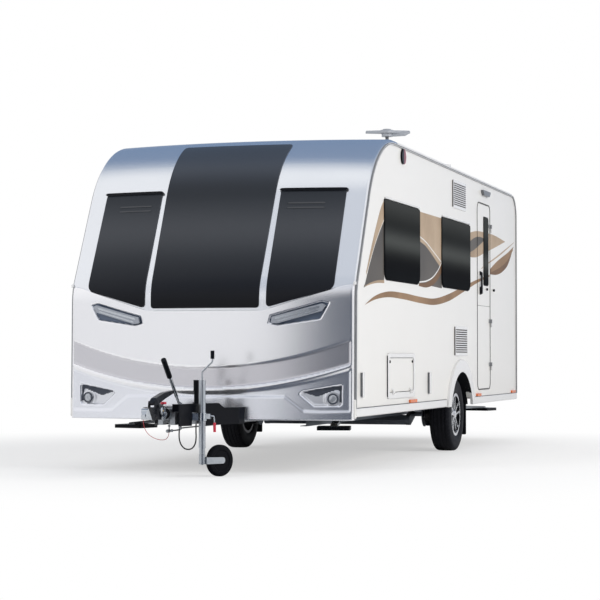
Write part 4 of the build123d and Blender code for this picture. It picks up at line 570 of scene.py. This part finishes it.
# %% The bowed front
BOW_RADIUS, BOW_AXIS_Y = 4.63083, 2.00583
FRONT_BOTTOM, KNEE_Z, KNEE_LEAN, KNEE_RADIUS = 0.385, 1.350, 0.015, 0.400
UPPER_SLOPE = math.atan2(0.590, 1.210)
CORNER_RADIUS = 0.024


def front_lean(z):
    """How far the front has leaned back at height z: the lower slope, an arc at the knee, then the upper slope."""
    low = math.atan2(KNEE_LEAN, KNEE_Z - FRONT_BOTTOM)
    tangent = KNEE_RADIUS * math.tan((UPPER_SLOPE - low) / 2)
    start = KNEE_Z - tangent * math.cos(low)
    straight = math.tan(low) * (z - FRONT_BOTTOM)
    sweep = np.clip((z - start) / KNEE_RADIUS + math.sin(low), 0, 0.999)
    foot = math.tan(low) * (start - FRONT_BOTTOM)
    arc = foot + KNEE_RADIUS * (math.cos(low) - np.sqrt(1 - sweep**2))
    end = start + KNEE_RADIUS * (math.sin(UPPER_SLOPE) - math.sin(low))
    upper = foot + KNEE_RADIUS * (math.cos(low) - math.cos(UPPER_SLOPE)) + math.tan(UPPER_SLOPE) * (z - end)
    return np.where(z < start, straight, np.where(z < end, arc, upper))


def front_y(x, z, proud=0.0):
    """y of the front: axis - sqrt((R - lean(z) + proud)^2 - x^2)."""
    return BOW_AXIS_Y - np.sqrt((BOW_RADIUS - front_lean(z) + proud) ** 2 - x**2)


# %% [markdown]
# The lower front is one glass-fibre moulding, and its modelling is all relief: a sunk band, a ridge,
# a step over the bumper line, a lamp pod at each end and a pocket behind each grab handle. Cutting
# and raising them one by one leaves hard edges, so they are a height field: for every x and z one
# number says how far the skin stands out or in, as a sum of soft steps across the signed distance
# to each outline. First come the outlines and the rules that measure them.


# %% Outlines on the lower front
POD = [(1.024, .642), (.742, .596), (.720, .574), (.822, .488), (1.004, .488), (1.020, .504)]
# POD_SHADE outlines the dark wedge of painted shade in each pod
POD_SHADE = [(1.028, .646), (.738, .596), (.736, .588), (.842, .556), (.980, .606), (1.000, .600), (1.002, .515),
             (1.028, .515)]
GRIP_POCKET = [(.494, 1.092), (.508, 1.146), (.880, 1.246), (.930, 1.236), (.866, 1.120), (.560, 1.076)]
STEP_LINE = [(.0, .556), (.610, .556), (.750, .452), (.880, .446), (1.2, .452)]
JOINT_LINE = [(0.0, 1.185), (.450, 1.185), (1.030, 1.364), (1.111, 1.378)]
# height on the centre line and radius of each arc
BAND_TOP, RIDGE_TOP, RIDGE_LOW = (0.768, 3.100), (0.618, 3.500), (0.581, 3.400)


def inside(points, x, z):
    """Signed distance to a closed outline, positive inside: nearest edge, signed by even-odd crossings."""
    points = np.asarray(points)
    best, crossed = np.full(x.shape, 9.0), np.zeros(x.shape, bool)
    for (x0, z0), (x1, z1) in zip(points, np.roll(points, -1, axis=0)):
        dx, dz = x1 - x0, z1 - z0
        t = np.clip(((x - x0) * dx + (z - z0) * dz) / (dx * dx + dz * dz), 0, 1)
        best = np.minimum(best, np.hypot(x - x0 - t * dx, z - z0 - t * dz))
        if dz:
            crossed ^= ((z0 > z) != (z1 > z)) & (x < x0 + (z - z0) / dz * dx)
    return np.where(crossed, best, -best)


def above_line(points, x, z):
    """Height of z above a line given as points with rising x."""
    xs, zs = np.array(points).T
    return z - np.interp(x, xs, zs)


def soft_step(distance, width):
    """0 on the outside, 1 on the inside, with a smooth S across the width."""
    t = np.clip(distance / width + 0.5, 0, 1)
    return t * t * (3 - 2 * t)


def smile(x, low, radius):
    """Height of an arc that is lowest on the centre line: z0 + R - sqrt(R^2 - x^2)."""
    return low + radius - np.sqrt(radius**2 - x**2)


# %% [markdown]
# The relief adds up the features, each with its depth and the width of its soft edge. It fades out
# at both ends, where the skin rolls round the corner.


# %% Relief of the lower front
SWELL_HIGH, SWELL_WIDE = 0.004, 0.020
BAND_DEEP, BAND_SOFT = 0.005, 0.026
APRON_DEEP, APRON_SOFT, STEP_SOFT = 0.005, 0.040, 0.026
POD_DEEP, POD_SOFT, POD_MARGIN = 0.024, 0.014, 0.004
POCKET_DEEP, POCKET_SOFT, POCKET_MARGIN = 0.019, 0.012, 0.002
SEAT_PLACE, SEAT_HIGH, SEAT_RADIUS, SEAT_SOFT = (0.955, 0.540), 0.010, 0.062, 0.016
RELIEF_END, END_SOFT = 1.083, 0.016


def relief(x, z):
    """Sum of the band, ridge, step, pod and pocket depths at (x, z), in metres out of the front."""
    a = np.abs(x)
    top, ridge, low = smile(a, *BAND_TOP), smile(a, *RIDGE_TOP), smile(a, *RIDGE_LOW)
    band = soft_step(top - z, BAND_SOFT) * soft_step(z - ridge, BAND_SOFT)
    apron = soft_step(low - z, APRON_SOFT) * soft_step(above_line(STEP_LINE, a, z), STEP_SOFT)
    swell = SWELL_HIGH * np.exp(-((z - (ridge + low) / 2) / SWELL_WIDE) ** 2)
    pod = soft_step(inside(POD, a, z) - POD_MARGIN, POD_SOFT)
    pocket = soft_step(inside(GRIP_POCKET, a, z) - POCKET_MARGIN, POCKET_SOFT)
    seat = SEAT_HIGH * soft_step(SEAT_RADIUS - np.hypot(a - SEAT_PLACE[0], z - SEAT_PLACE[1]), SEAT_SOFT)
    end = soft_step(RELIEF_END - a, END_SOFT)
    return end * (-BAND_DEEP * band - APRON_DEEP * apron + swell - POD_DEEP * pod + pod * seat - POCKET_DEEP * pocket)


# %% [markdown]
# The skin is a grid over x and z, finer towards its ends, from its foot to the joint with the upper
# panel. The faces inside the notch for the drawbar are left out. Each face then takes the tone of
# the feature it lies on, with painted shade in the pockets, the pods and their wedges, the band and
# the apron, and the sheet gets its thickness.

# %% Lower front moulding
NOTCH_HALF, NOTCH_TOP = 0.304, 0.474
COLUMNS, ROWS, FOOT_ROWS = 321, 129, 13
CROWDING = 0.12      # how much finer the columns get towards the two ends
SHEET = 0.004


def lower_front():
    """Grid over (x, z): y = front_y(x, z, relief), the two ends rolled round the corner radius."""
    u = np.linspace(-1, 1, COLUMNS)
    x = WALL_X * np.sign(u) * (1 - (1 - np.abs(u)) * (1 + CROWDING * np.abs(u)))
    edge = np.abs(np.abs(x) - NOTCH_HALF).argmin()
    x[[edge, -1 - edge]] = np.sign(x[[edge, -1 - edge]]) * NOTCH_HALF
    head = np.interp(np.abs(x), *np.array(JOINT_LINE).T)[:, None]
    foot = np.linspace(FRONT_BOTTOM, NOTCH_TOP, FOOT_ROWS)[None, :-1]
    z = NOTCH_TOP + (head - NOTCH_TOP) * np.linspace(0, 1, ROWS)[None, :]
    z = np.concatenate([np.broadcast_to(foot, (COLUMNS, FOOT_ROWS - 1)), z], axis=1)
    across = np.broadcast_to(x[:, None], z.shape)
    over = np.clip(np.abs(across) - (WALL_X - CORNER_RADIUS), 0, CORNER_RADIUS)
    roll = CORNER_RADIUS - np.sqrt(CORNER_RADIUS**2 - over**2)
    depth = front_y(across, z, relief(across, z)) + roll
    points = np.stack([across, depth, z], axis=-1)
    faces = grid_faces(*z.shape)
    middle = points.reshape(-1, 3)[faces].mean(axis=1)
    faces = faces[(np.abs(middle[:, 0]) > NOTCH_HALF) | (middle[:, 2] > NOTCH_TOP)]
    used, places = np.unique(faces, return_inverse=True)
    piece = make_piece("lower_front_moulding", points.reshape(-1, 3)[used], places.reshape(faces.shape), pale_front)
    # painted shade: darker tones for the pockets, pod wedges, pods, band and apron
    for tone in (pocket_painted_shade, pod_shade_and_rim_grey, pod_painted_shade, band_painted_shade, apron_painted_shade):
        piece.data.materials.append(tone)
    x, _, z = face_centres(piece).T
    flat = np.abs(x) < RELIEF_END + 0.0005
    pod = inside(POD, np.abs(x), z) > POD_MARGIN
    places = [inside(GRIP_POCKET, np.abs(x), z) > 0.003, pod & (inside(POD_SHADE, np.abs(x), z) > 0.0), pod,
              (z > smile(x, *RIDGE_TOP)) & (z < smile(x, *BAND_TOP)) & flat, (z < smile(x, *RIDGE_LOW) - 0.004) & flat]
    piece.data.polygons.foreach_set("material_index", np.select(places, range(1, 6), 0))
    skin = piece.modifiers.new("skin", "SOLIDIFY")
    skin.thickness, skin.offset = SHEET, -1.0
    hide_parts("front_lower_panel")
    print("lower front faces", len(piece.data.polygons))


lower_front()

# %% [markdown]
# Panes, doors and hatches are sealed with rubber. A seal is one small section carried round a
# rounded rectangle: the rectangle gives the place and the outward direction at every step, and the
# section gives how far out and how high the rubber stands.

# %% Seals round the side windows and the door
# y0, y1, z0, z1 of each opening
SIDE_WINDOWS = ((-1.630, -0.490, 1.440, 2.052), (0.330, 1.480, 1.450, 2.048))
DOOR_HOLE = (1.830, 2.420, 0.536, 2.296)
DOOR_WINDOW = (2.120, 2.325, 1.527, 2.172)
HATCH_HOLE = (-1.500, -0.710, 0.566, 0.838)
# radii of the lower and the upper corners
WINDOW_ROUND, DOOR_ROUND, PANE_ROUND, HATCH_ROUND = (0.080, 0.022), (0.070, 0.070), (0.018, 0.018), (0.026, 0.026)
CORNER_STEPS = 10


def rounded_loop(y0, y1, z0, z1, radii):
    """Points and outward directions round a rectangle; the radii are for the lower and the upper corners."""
    low, top = radii
    corners = ((y1 - low, z0 + low, low, -90), (y1 - top, z1 - top, top, 0), (y0 + top, z1 - top, top, 90),
               (y0 + low, z0 + low, low, 180))
    sweep = np.radians(np.linspace(0, 90, CORNER_STEPS))
    places, outward = [], []
    for cy, cz, radius, start in corners:
        angle = sweep + math.radians(start)
        away = np.stack([np.cos(angle), np.sin(angle)], axis=-1)
        places.append(np.array([cy, cz]) + radius * away)
        outward.append(away)
    return np.concatenate(places), np.concatenate(outward)


def seal(name, loop, section, material, side=1, body=ROOT):
    """point(u, v) = loop(u) + outward(u) * section(v)[0], standing section(v)[1] off the wall."""
    places, outward = loop
    section = np.asarray(section)
    flat = places[:, None, :] + outward[:, None, :] * section[None, :, :1]
    height = np.broadcast_to(side * (WALL_X + section[None, :, 1]), flat.shape[:2])
    points = np.concatenate([height[..., None], flat], axis=-1)
    faces = grid_faces(*flat.shape[:2], close_rows=True, close_columns=True)
    make_piece(name, points, faces[:, ::-1] if side > 0 else faces, material, body)


# sections: each corner's distance outwards, and its height off the wall
WINDOW_SEAL = [(0.0004, 0.0002), (0.0075, 0.0002), (0.007, 0.003), (0.0004, 0.0055)]
DOOR_SEAL = [(-0.0052, -0.016), (-0.0008, -0.016), (-0.0008, -0.003), (-0.003, -0.0015), (-0.0052, -0.003)]
DOOR_LINE = [(0.0006, 0.0001), (0.0060, 0.0001), (0.0055, 0.0040), (0.0012, 0.0044)]
HATCH_SEAL = [(-0.0042, -0.016), (-0.0006, -0.016), (-0.0006, -0.001), (-0.0042, -0.001)]
WALL_SIDES = ((1, "near"), (-1, "far"))
for number, window in enumerate(SIDE_WINDOWS):
    for side, word in WALL_SIDES:
        seal(f"window_seal_{number}_{word}", rounded_loop(*window, WINDOW_ROUND), WINDOW_SEAL, black_rubber, side)
seal("door_seal", rounded_loop(*DOOR_HOLE, DOOR_ROUND), DOOR_SEAL, seal_grey_and_shade)
seal("door_line", rounded_loop(*DOOR_HOLE, DOOR_ROUND), DOOR_LINE, seal_grey_and_shade)
seal("door_window_seal", rounded_loop(*DOOR_WINDOW, PANE_ROUND), WINDOW_SEAL, black_rubber, body="door")
seal("hatch_seal", rounded_loop(*HATCH_HOLE, HATCH_ROUND), HATCH_SEAL, seal_grey_and_shade)

# %% [markdown]
# The entrance door is in two halves, and its split shows as one thin dark line. The line is a flat
# ribbon again, a hair off the leaf. Each side window hangs from a pale rail with rounded edges.

# %% Door split and window top rails
SPLIT_Z, SPLIT_HALF = 1.325, 0.0015
vinyl("door_split", [1.838, 2.05, 2.412], [SPLIT_Z - SPLIT_HALF] * 3, [SPLIT_Z + SPLIT_HALF] * 3, seal_grey_and_shade,
      body="door")
for number, (y0, y1, z0, z1) in enumerate(SIDE_WINDOWS):
    for side, word in WALL_SIDES:
        x0, x1 = sorted((side * (WALL_X + 0.0002), side * (WALL_X + 0.012)))
        box_piece(f"window_rail_{number}_{word}", (x0, y0 + 0.012, z1 + 0.0085), (x1, y1 - 0.012, z1 + 0.021),
                 white_moulding, bevel=0.003)

# %% [markdown]
# What lies on the bowed front, such as the bright strips of the grab handles, is drawn flat in x and
# z and gets its y from the front's own formula. The bars are rounded off at their ends.


# %% Bright strips on the grab handles
STRIP_STEPS = 40
ROUND_POWER, END_WIDTH = 24, 0.02      # how late the ends round off, and the share of the width left at the tip


def front_strip(name, starts, ends, half_width, low_proud, high_proud, material, side=1):
    """A bar between two points (x, z) of the front: grid along it and round its four-sided section."""
    (x0, z0), (x1, z1) = starts, ends
    t = np.linspace(0, 1, STRIP_STEPS)[:, None]
    taper = np.sqrt(np.clip(1 - np.abs(2 * t - 1) ** ROUND_POWER, 0, 1)) * (1 - END_WIDTH) + END_WIDTH
    across = np.array([-1, 1, 1, -1])[None, :] * half_width * taper
    proud = np.array([low_proud, low_proud, high_proud, high_proud])[None, :] + 0 * t
    length = math.hypot(x1 - x0, z1 - z0)
    nx, nz = -(z1 - z0) / length, (x1 - x0) / length
    x = x0 + (x1 - x0) * t + nx * across
    z = z0 + (z1 - z0) * t + nz * across
    points = np.stack([side * x, front_y(x, z, proud), z], axis=-1)
    faces = grid_faces(STRIP_STEPS, 4, close_columns=True)
    last = 4 * STRIP_STEPS - 1
    faces = np.concatenate([faces, [[0, 1, 2, 3], [last, last - 1, last - 2, last - 3]]])
    make_piece(name, points, faces if side > 0 else faces[:, ::-1], material, smooth=False)


for side, word in SIDES:
    front_strip(f"grip_bright_{word}", (0.540, 1.1225), (0.868, 1.2085), 0.0075, 0.0142, 0.0172, bright_zinc, side)
    front_strip(f"grip_lower_{word}", (0.556, 1.1010), (0.860, 1.1840), 0.0050, 0.0142, 0.0165, bright_zinc, side)

# %% [markdown]
# A turned piece is a profile of radii carried round an axis, closed by a flat face at each end. The
# first to use it is the lamp in each pod: a dark rim with a domed lens.


# %% Turned pieces and the pod lamps
def turned(name, centre, axis, profile, material, body=ROOT, sides=24, smooth=True):
    """point(i, angle) = centre + axis * along_i + radius_i * (cos(angle) e1 + sin(angle) e2)."""
    axis = np.asarray(axis, float) / np.linalg.norm(axis)
    e1 = np.cross(axis, (0, 0, 1) if abs(axis[2]) < 0.9 else (1, 0, 0))
    e1 /= np.linalg.norm(e1)
    e2 = np.cross(axis, e1)
    angle = np.linspace(0, 2 * math.pi, sides, endpoint=False)[:, None]
    ring = np.cos(angle) * e1 + np.sin(angle) * e2
    along, radius = np.asarray(profile, float).T
    points = np.asarray(centre) + along[:, None, None] * axis + radius[:, None, None] * ring[None]
    walls = grid_faces(len(profile), sides, close_columns=True)[:, ::-1].tolist()
    last = (len(profile) - 1) * sides
    ends = [list(range(sides))[::-1], list(range(last, last + sides))]
    piece = make_piece(name, points, walls + ends, material, body)
    piece.data.polygons.foreach_set("use_smooth", [smooth] * len(walls) + [False] * 2)


LAMP_RIM = [(-0.004, 0.0405), (0.002, 0.0400), (0.003, 0.0360), (0.002, 0.0310), (-0.001, 0.0300)]
LAMP_LENS = [(-0.002, 0.0290), (0.001, 0.0285), (0.003, 0.0200), (0.004, 0.0080)]
for side, end in ((-1, ""), (1, "_far")):
    place, ahead = (0.9588 * side, -2.5175, 0.540), (0.206 * side, -0.9785, 0)
    turned("lamp_rim" + end, place, ahead, LAMP_RIM, pod_shade_and_rim_grey, sides=40)
    turned("lamp_lens" + end, place, ahead, LAMP_LENS, lamp_glass, sides=40)

# %% [markdown]
# Small fittings finish the body: the top rail and the blind's louvres of each outer front pane, the
# dark line over the skirt rail, and the caps and joint blocks at the corners of the front. They are
# straight on the real body, so bars laid on the front and boxes with rounded edges are enough.

# %% Rails, lines and caps
SKIRT_RUNS = ((-2.442, 0.505), (1.665, 3.740))      # along the wall, before and behind the wheel
for side, word in SIDES:
    front_strip(f"pane_rail_{word}", (0.464, 2.0945), (0.974, 2.0945), 0.0105, 0.0005, 0.016, black_moulding, side)
    for number, z in enumerate((1.988, 1.952)):
        front_strip(f"pane_louvre_{number}_{word}", (0.540, z), (0.820, z), 0.0055, 0.0078, 0.0090, louvre_grey, side)
    for number, (y0, y1) in enumerate(SKIRT_RUNS):
        x0, x1 = sorted((side * 1.1102, side * 1.1165))
        box_piece(f"skirt_line_{number}_{word}", (x0, y0, 0.4702), (x1, y1, 0.4732), seal_grey_and_shade)
    x0, x1 = sorted((side * 1.0995, side * 1.1185))
    box_piece(f"corner_cap_{word}", (x0, -2.478, 0.398), (x1, -2.452, 0.535), wall_paint, bevel=0.005)
    box_piece(f"joint_block_{word}", (x0, -2.470, 1.366), (x1, -2.444, 1.392), white_moulding, bevel=0.005)

# %% [markdown]
# Each vent has eleven slots, drawn as thin dark bars of painted shade at even heights. All the bars
# of a vent are one mesh: the corners of one box, repeated at every height by adding two arrays.

# %% Vent slots
VENTS = (("upper", (0.770, 1.300, 2.167, 2.417)), ("lower", (0.840, 1.350, 0.853, 1.115)))      # y0, y1, z0, z1
SLOTS, VENT_EDGE, SLOT_HALF, SLOT_THICK, VENT_X = 11, 0.022, 0.0044, 0.0006, 1.1200
for word, (y0, y1, z0, z1) in VENTS:
    rows = z0 + VENT_EDGE + (z1 - z0 - 2 * VENT_EDGE) / SLOTS * (np.arange(SLOTS) + 0.5)
    bar = box_corners((0.0, y0 + VENT_EDGE, -SLOT_HALF), (SLOT_THICK, y1 - VENT_EDGE, SLOT_HALF))
    places = np.stack([np.full(SLOTS, VENT_X), np.zeros(SLOTS), rows], axis=-1)
    faces = np.array(BOX_FACES)[None] + 8 * np.arange(SLOTS)[:, None, None]
    make_piece(f"vent_shadow_{word}", places[:, None, :] + bar[None], faces.reshape(-1, 4), slot_painted_shade, smooth=False)

# %% [markdown]
# The hatch's locks and the hitch's pads, collar and adjuster are machined round parts, so each is a
# turned profile too. The brake spring could be a wire along a helix, but it is only a few pixels
# long in most views: one profile that swells at every other point shows the same coils.

# %% Locks and hitch fittings
HATCH_LOCK = [(0.0, 0.011), (0.006, 0.011), (0.008, 0.009)]
for y, word in ((-1.468, "fore"), (-0.742, "aft")):
    turned(f"hatch_lock_{word}", (1.1121, y, 0.806), (1, 0, 0), HATCH_LOCK, black_moulding, "hatch")
FRICTION_PAD = [(0.0, 0.027), (0.006, 0.027), (0.0085, 0.0245), (0.0085, 0.014), (0.011, 0.013)]
PAD_SCREW = [(0.0, 0.008), (0.004, 0.008), (0.005, 0.007)]
PAD_Y, PAD_Z = -3.600, 0.476
for side, word in SIDES:
    turned(f"friction_pad_{word}", (side * 0.0560, PAD_Y, PAD_Z), (side, 0, 0), FRICTION_PAD, bright_zinc, sides=32)
    turned(f"pad_screw_{word}", (side * 0.0668, PAD_Y, PAD_Z), (side, 0, 0), PAD_SCREW, brass, sides=6, smooth=False)
COLLAR = [(0.0, 0.019), (0.005, 0.021), (0.013, 0.021), (0.017, 0.018)]
turned("coupling_collar", (0.0, -3.420, 0.5165), (0, 0, 1), COLLAR, red_plastic)
COILS = [(0.004 + 0.005 * turn, 0.0115 if turn % 2 else 0.0085) for turn in range(11)]
turned("brake_spring", (-0.004, -3.345, 0.328), (0, 1, 0), [(0.0, 0.006)] + COILS + [(0.062, 0.006)], zinc)
ADJUSTER = [(0.0, 0.005), (0.030, 0.005), (0.031, 0.010), (0.043, 0.010), (0.044, 0.005), (0.200, 0.005)]
turned("brake_adjuster", (-0.004, -3.285, 0.328), (0, 1, 0), ADJUSTER, bright_zinc, sides=12)
HANGER = [(0.0, 0.004), (0.030, 0.004), (0.031, 0.009), (0.040, 0.009)]
turned("spring_hanger", (-0.004, -3.300, 0.3275), (0, 0, 1), HANGER, zinc, sides=10)

# %% [markdown]
# Five bolts sit on a circle round each wheel's hub, one between every two pairs of spokes, and a
# valve stands out of the rim. They ride on the wheel, so they turn with it.

# %% Wheel bolts and valves
BOLTS, BOLT_X, BOLT_CIRCLE, FIRST_BOLT = 5, 1.046, 0.0485, 126.0
VALVE_X, VALVE_OUT = 1.020, 0.148
WHEEL_BOLT = [(0.0, 0.0085), (0.011, 0.0085), (0.0125, 0.007)]
VALVE = [(0.0, 0.005), (0.020, 0.005), (0.021, 0.004), (0.030, 0.004)]
_, HUB_Y, HUB_Z = WHEEL_MIDDLE
for side, word in SIDES:
    for number in range(BOLTS):
        angle = math.radians(FIRST_BOLT + 360 / BOLTS * number)
        place = (side * BOLT_X, HUB_Y + BOLT_CIRCLE * math.cos(angle), HUB_Z + BOLT_CIRCLE * math.sin(angle))
        turned(f"wheel_bolt_{number}_{word}", place, (side, 0, 0), WHEEL_BOLT, cast_black, f"wheel_{word}", sides=6,
               smooth=False)
    turned(f"tyre_valve_{word}", (side * VALVE_X, HUB_Y + VALVE_OUT, HUB_Z), (side, 0, 0), VALVE, black_rubber,
           f"wheel_{word}", sides=10)

# %% [markdown]
# A studio shot is a pale floor that runs out to white. The floor fades from its own shaded surface
# to white with distance. In reflections a dark reflector stands low down to the right of the front,
# and hides the floor there. A few more helpers combine sockets as sums and products would.


# %% Floor
FLOOR_HALF = 60.0
FADE_START, FADE_END, LEAST_WHITE = 2.5, 6.0, 0.5
# the dark reflector: its direction, the cosines of its edge and its heart, its colour, and where it is seen from
DARK_SIDE, DARK_EDGE, DARK_HEART, DARK_COLOUR = (0.423, -0.906, 0.0), 0.86, 0.965, (0.02, 0.035, 0.07)
FRONT_FOOT = (0.0, -2.5, 0.0)


def smooth_range(tree, value, low, high, start=0.0, stop=1.0):
    """start where value is below low, stop where it is above high, and a smooth S between them."""
    sockets = {"Value": value, "From Min": low, "From Max": high, "To Min": start, "To Max": stop}
    return add_node(tree, "MapRange", sockets, interpolation_type="SMOOTHSTEP").outputs["Result"]


def product(tree, first, second):
    """first * second."""
    return add_node(tree, "Math", {0: first, 1: second}, operation="MULTIPLY").outputs[0]


def cosine_to(tree, direction, fixed):
    """Cosine of the angle between two unit directions: their dot product."""
    return add_node(tree, "VectorMath", {0: direction, 1: fixed}, operation="DOT_PRODUCT").outputs["Value"]


def mix_shaders(tree, share, first, second):
    """first * (1 - share) + second * share."""
    return add_node(tree, "MixShader", {0: share, 1: first, 2: second}).outputs["Shader"]


def floor_finish():
    """Diffuse near the caravan; to the camera it turns to plain white with distance from the centre."""
    material, tree, shader = new_material("studio_floor")
    set_inputs(shader, Base_Color=(0.93, 0.93, 0.93, 1), Roughness=0.9, Specular_IOR_Level=0.1)
    where, path = add_node(tree, "TexCoord").outputs["Object"], add_node(tree, "LightPath")
    length = add_node(tree, "VectorMath", {0: where}, operation="LENGTH").outputs["Value"]
    fade = smooth_range(tree, length, FADE_START, FADE_END, LEAST_WHITE)
    offset = add_node(tree, "VectorMath", {0: where, 1: FRONT_FOOT}, operation="SUBTRACT").outputs["Vector"]
    unit = add_node(tree, "VectorMath", {0: offset}, operation="NORMALIZE").outputs["Vector"]
    sector = smooth_range(tree, cosine_to(tree, unit, DARK_SIDE), DARK_EDGE, DARK_HEART)
    dark = add_node(tree, "Emission", {"Color": (*DARK_COLOUR, 1)}).outputs["Emission"]
    white = add_node(tree, "Emission").outputs["Emission"]
    ground = mix_shaders(tree, product(tree, sector, path.outputs["Is Glossy Ray"]), shader.outputs["BSDF"], dark)
    both = mix_shaders(tree, product(tree, fade, path.outputs["Is Camera Ray"]), ground, white)
    tree.links.new(both, tree.nodes["Material Output"].inputs["Surface"])
    return material


floor_mesh = bpy.data.meshes.new("studio_floor")
floor_mesh.from_pydata([(x * FLOOR_HALF, y * FLOOR_HALF, 0) for x, y in ((-1, -1), (1, -1), (1, 1), (-1, 1))], [],
                       [(0, 1, 2, 3)])
floor_mesh.materials.append(floor_finish())
floor = add_object("studio_floor", floor_mesh)

# %% [markdown]
# The world is plain white to the camera. To reflections it is a sky: white low down, cool overhead
# towards the dark reflector, and blue above and behind. As a light it is weaker than as a
# reflection, so the paint keeps its colour.

# %% World
DIFFUSE_LIGHT, MIRROR_LIGHT = 0.64, 0.98
SKY_STOPS = ((0.0, (0.80, 0.81, 0.84)), (0.16, (0.90, 0.91, 0.94)), (0.45, (1.0, 1.0, 1.02)), (1.0, (0.98, 1.0, 1.03)))
# the blue patch: its direction, the cosines of its edge and its heart, its colour
BLUE_SKY, BLUE_EDGE, BLUE_HEART, BLUE_COLOUR = (0.0, 0.707, 0.707), 0.60, 0.88, (0.17, 0.26, 0.42)
# the cool part over the reflector: cosines of its edge and heart, heights where it sets in, most share, colour
COOL_EDGE, COOL_HEART, COOL_HEIGHTS, COOL_SHARE, COOL_COLOUR = 0.22, 0.62, (0.25, 0.5), 0.6, (0.36, 0.42, 0.54)


def tinted(tree, share, colour, second_colour):
    """mix(colour, tint, share)."""
    return add_node(tree, "Mix", {"Factor": share, "A": colour, "B": (*second_colour, 1)}, data_type="RGBA").outputs["Result"]


def studio_world():
    """Sky by height, with a blue patch, a cool part and the dark reflector; plain white to the camera."""
    world = bpy.data.worlds.new("studio")
    world.use_nodes = True
    tree = world.node_tree
    where, path = add_node(tree, "TexCoord").outputs["Generated"], add_node(tree, "LightPath")
    height, glossy = add_node(tree, "SeparateXYZ", {0: where}).outputs["Z"], path.outputs["Is Glossy Ray"]
    patch = smooth_range(tree, cosine_to(tree, where, BLUE_SKY), BLUE_EDGE, BLUE_HEART)
    sky = tinted(tree, product(tree, patch, glossy), colour_ramp(tree, height, SKY_STOPS), BLUE_COLOUR)
    towards = cosine_to(tree, where, DARK_SIDE)
    low, high = COOL_HEIGHTS
    overhead = add_node(tree, "MapRange", {"Value": height, "From Min": low, "From Max": high}).outputs["Result"]
    aside = smooth_range(tree, towards, COOL_EDGE, COOL_HEART, 0.0, COOL_SHARE)
    sky = tinted(tree, product(tree, aside, overhead), sky, COOL_COLOUR)
    sky = tinted(tree, smooth_range(tree, towards, DARK_EDGE, DARK_HEART), sky, DARK_COLOUR)
    power = add_node(tree, "MapRange", {"Value": glossy, "To Min": DIFFUSE_LIGHT, "To Max": MIRROR_LIGHT})
    light = tree.nodes["Background"]
    tree.links.new(sky, light.inputs["Color"])
    tree.links.new(power.outputs["Result"], light.inputs["Strength"])
    white = add_node(tree, "Background", {"Color": (1, 1, 1, 1)}).outputs["Background"]
    both = mix_shaders(tree, path.outputs["Is Camera Ray"], light.outputs["Background"], white)
    tree.links.new(both, tree.nodes["World Output"].inputs["Surface"])
    return world


bpy.context.scene.world = studio_world()

# %% [markdown]
# Two large soft lamps light the front and the door side. Small ones would draw hard shadows under
# the rails. Neither shows in a reflection, where the world alone is seen. The camera stands low with
# a long lens, and looks a little to the left and up from its level line.


# %% Lights and camera
def soft_light(name, place, target, size, watts, colour=(1, 1, 1)):
    """A square area lamp of the given size, turned from its place to its target."""
    lamp = bpy.data.lights.new(name, "AREA")
    lamp.shape, lamp.size, lamp.energy, lamp.color = "SQUARE", size, watts, colour
    thing = add_object(name, lamp)
    thing.location = place
    thing.rotation_euler = (Vector(target) - Vector(place)).to_track_quat("-Z", "Y").to_euler()
    thing.visible_glossy = False      # the world alone shows in the paint and the glass


soft_light("front_light", (-7.0, -14.0, 7.0), (0, -2.5, 1.2), 6.0, 700)
soft_light("side_light", (13.0, -3.0, 7.0), (1.1, 0.5, 1.2), 6.0, 1000, (1.0, 0.985, 0.96))

CAMERA_PLACE = Vector((4.827, -15.875, 0.8545))
FORWARD, RIGHT = Vector((-0.2892, 0.9573, 0)), Vector((0.9573, 0.2892, 0))
AIM_RIGHT, AIM_UP = -0.00554, 0.02886      # from the level line of sight to the picture's middle
view = bpy.data.cameras.new("camera")
view.lens, view.sensor_width = 115.34, 36.0
view.clip_end = 200.0
camera = add_object("camera", view)
camera.location = CAMERA_PLACE
camera.rotation_euler = (FORWARD + RIGHT * AIM_RIGHT + Vector((0, 0, AIM_UP))).to_track_quat("-Z", "Y").to_euler()
bpy.context.scene.camera = camera
bpy.context.scene.view_settings.view_transform = "Standard"
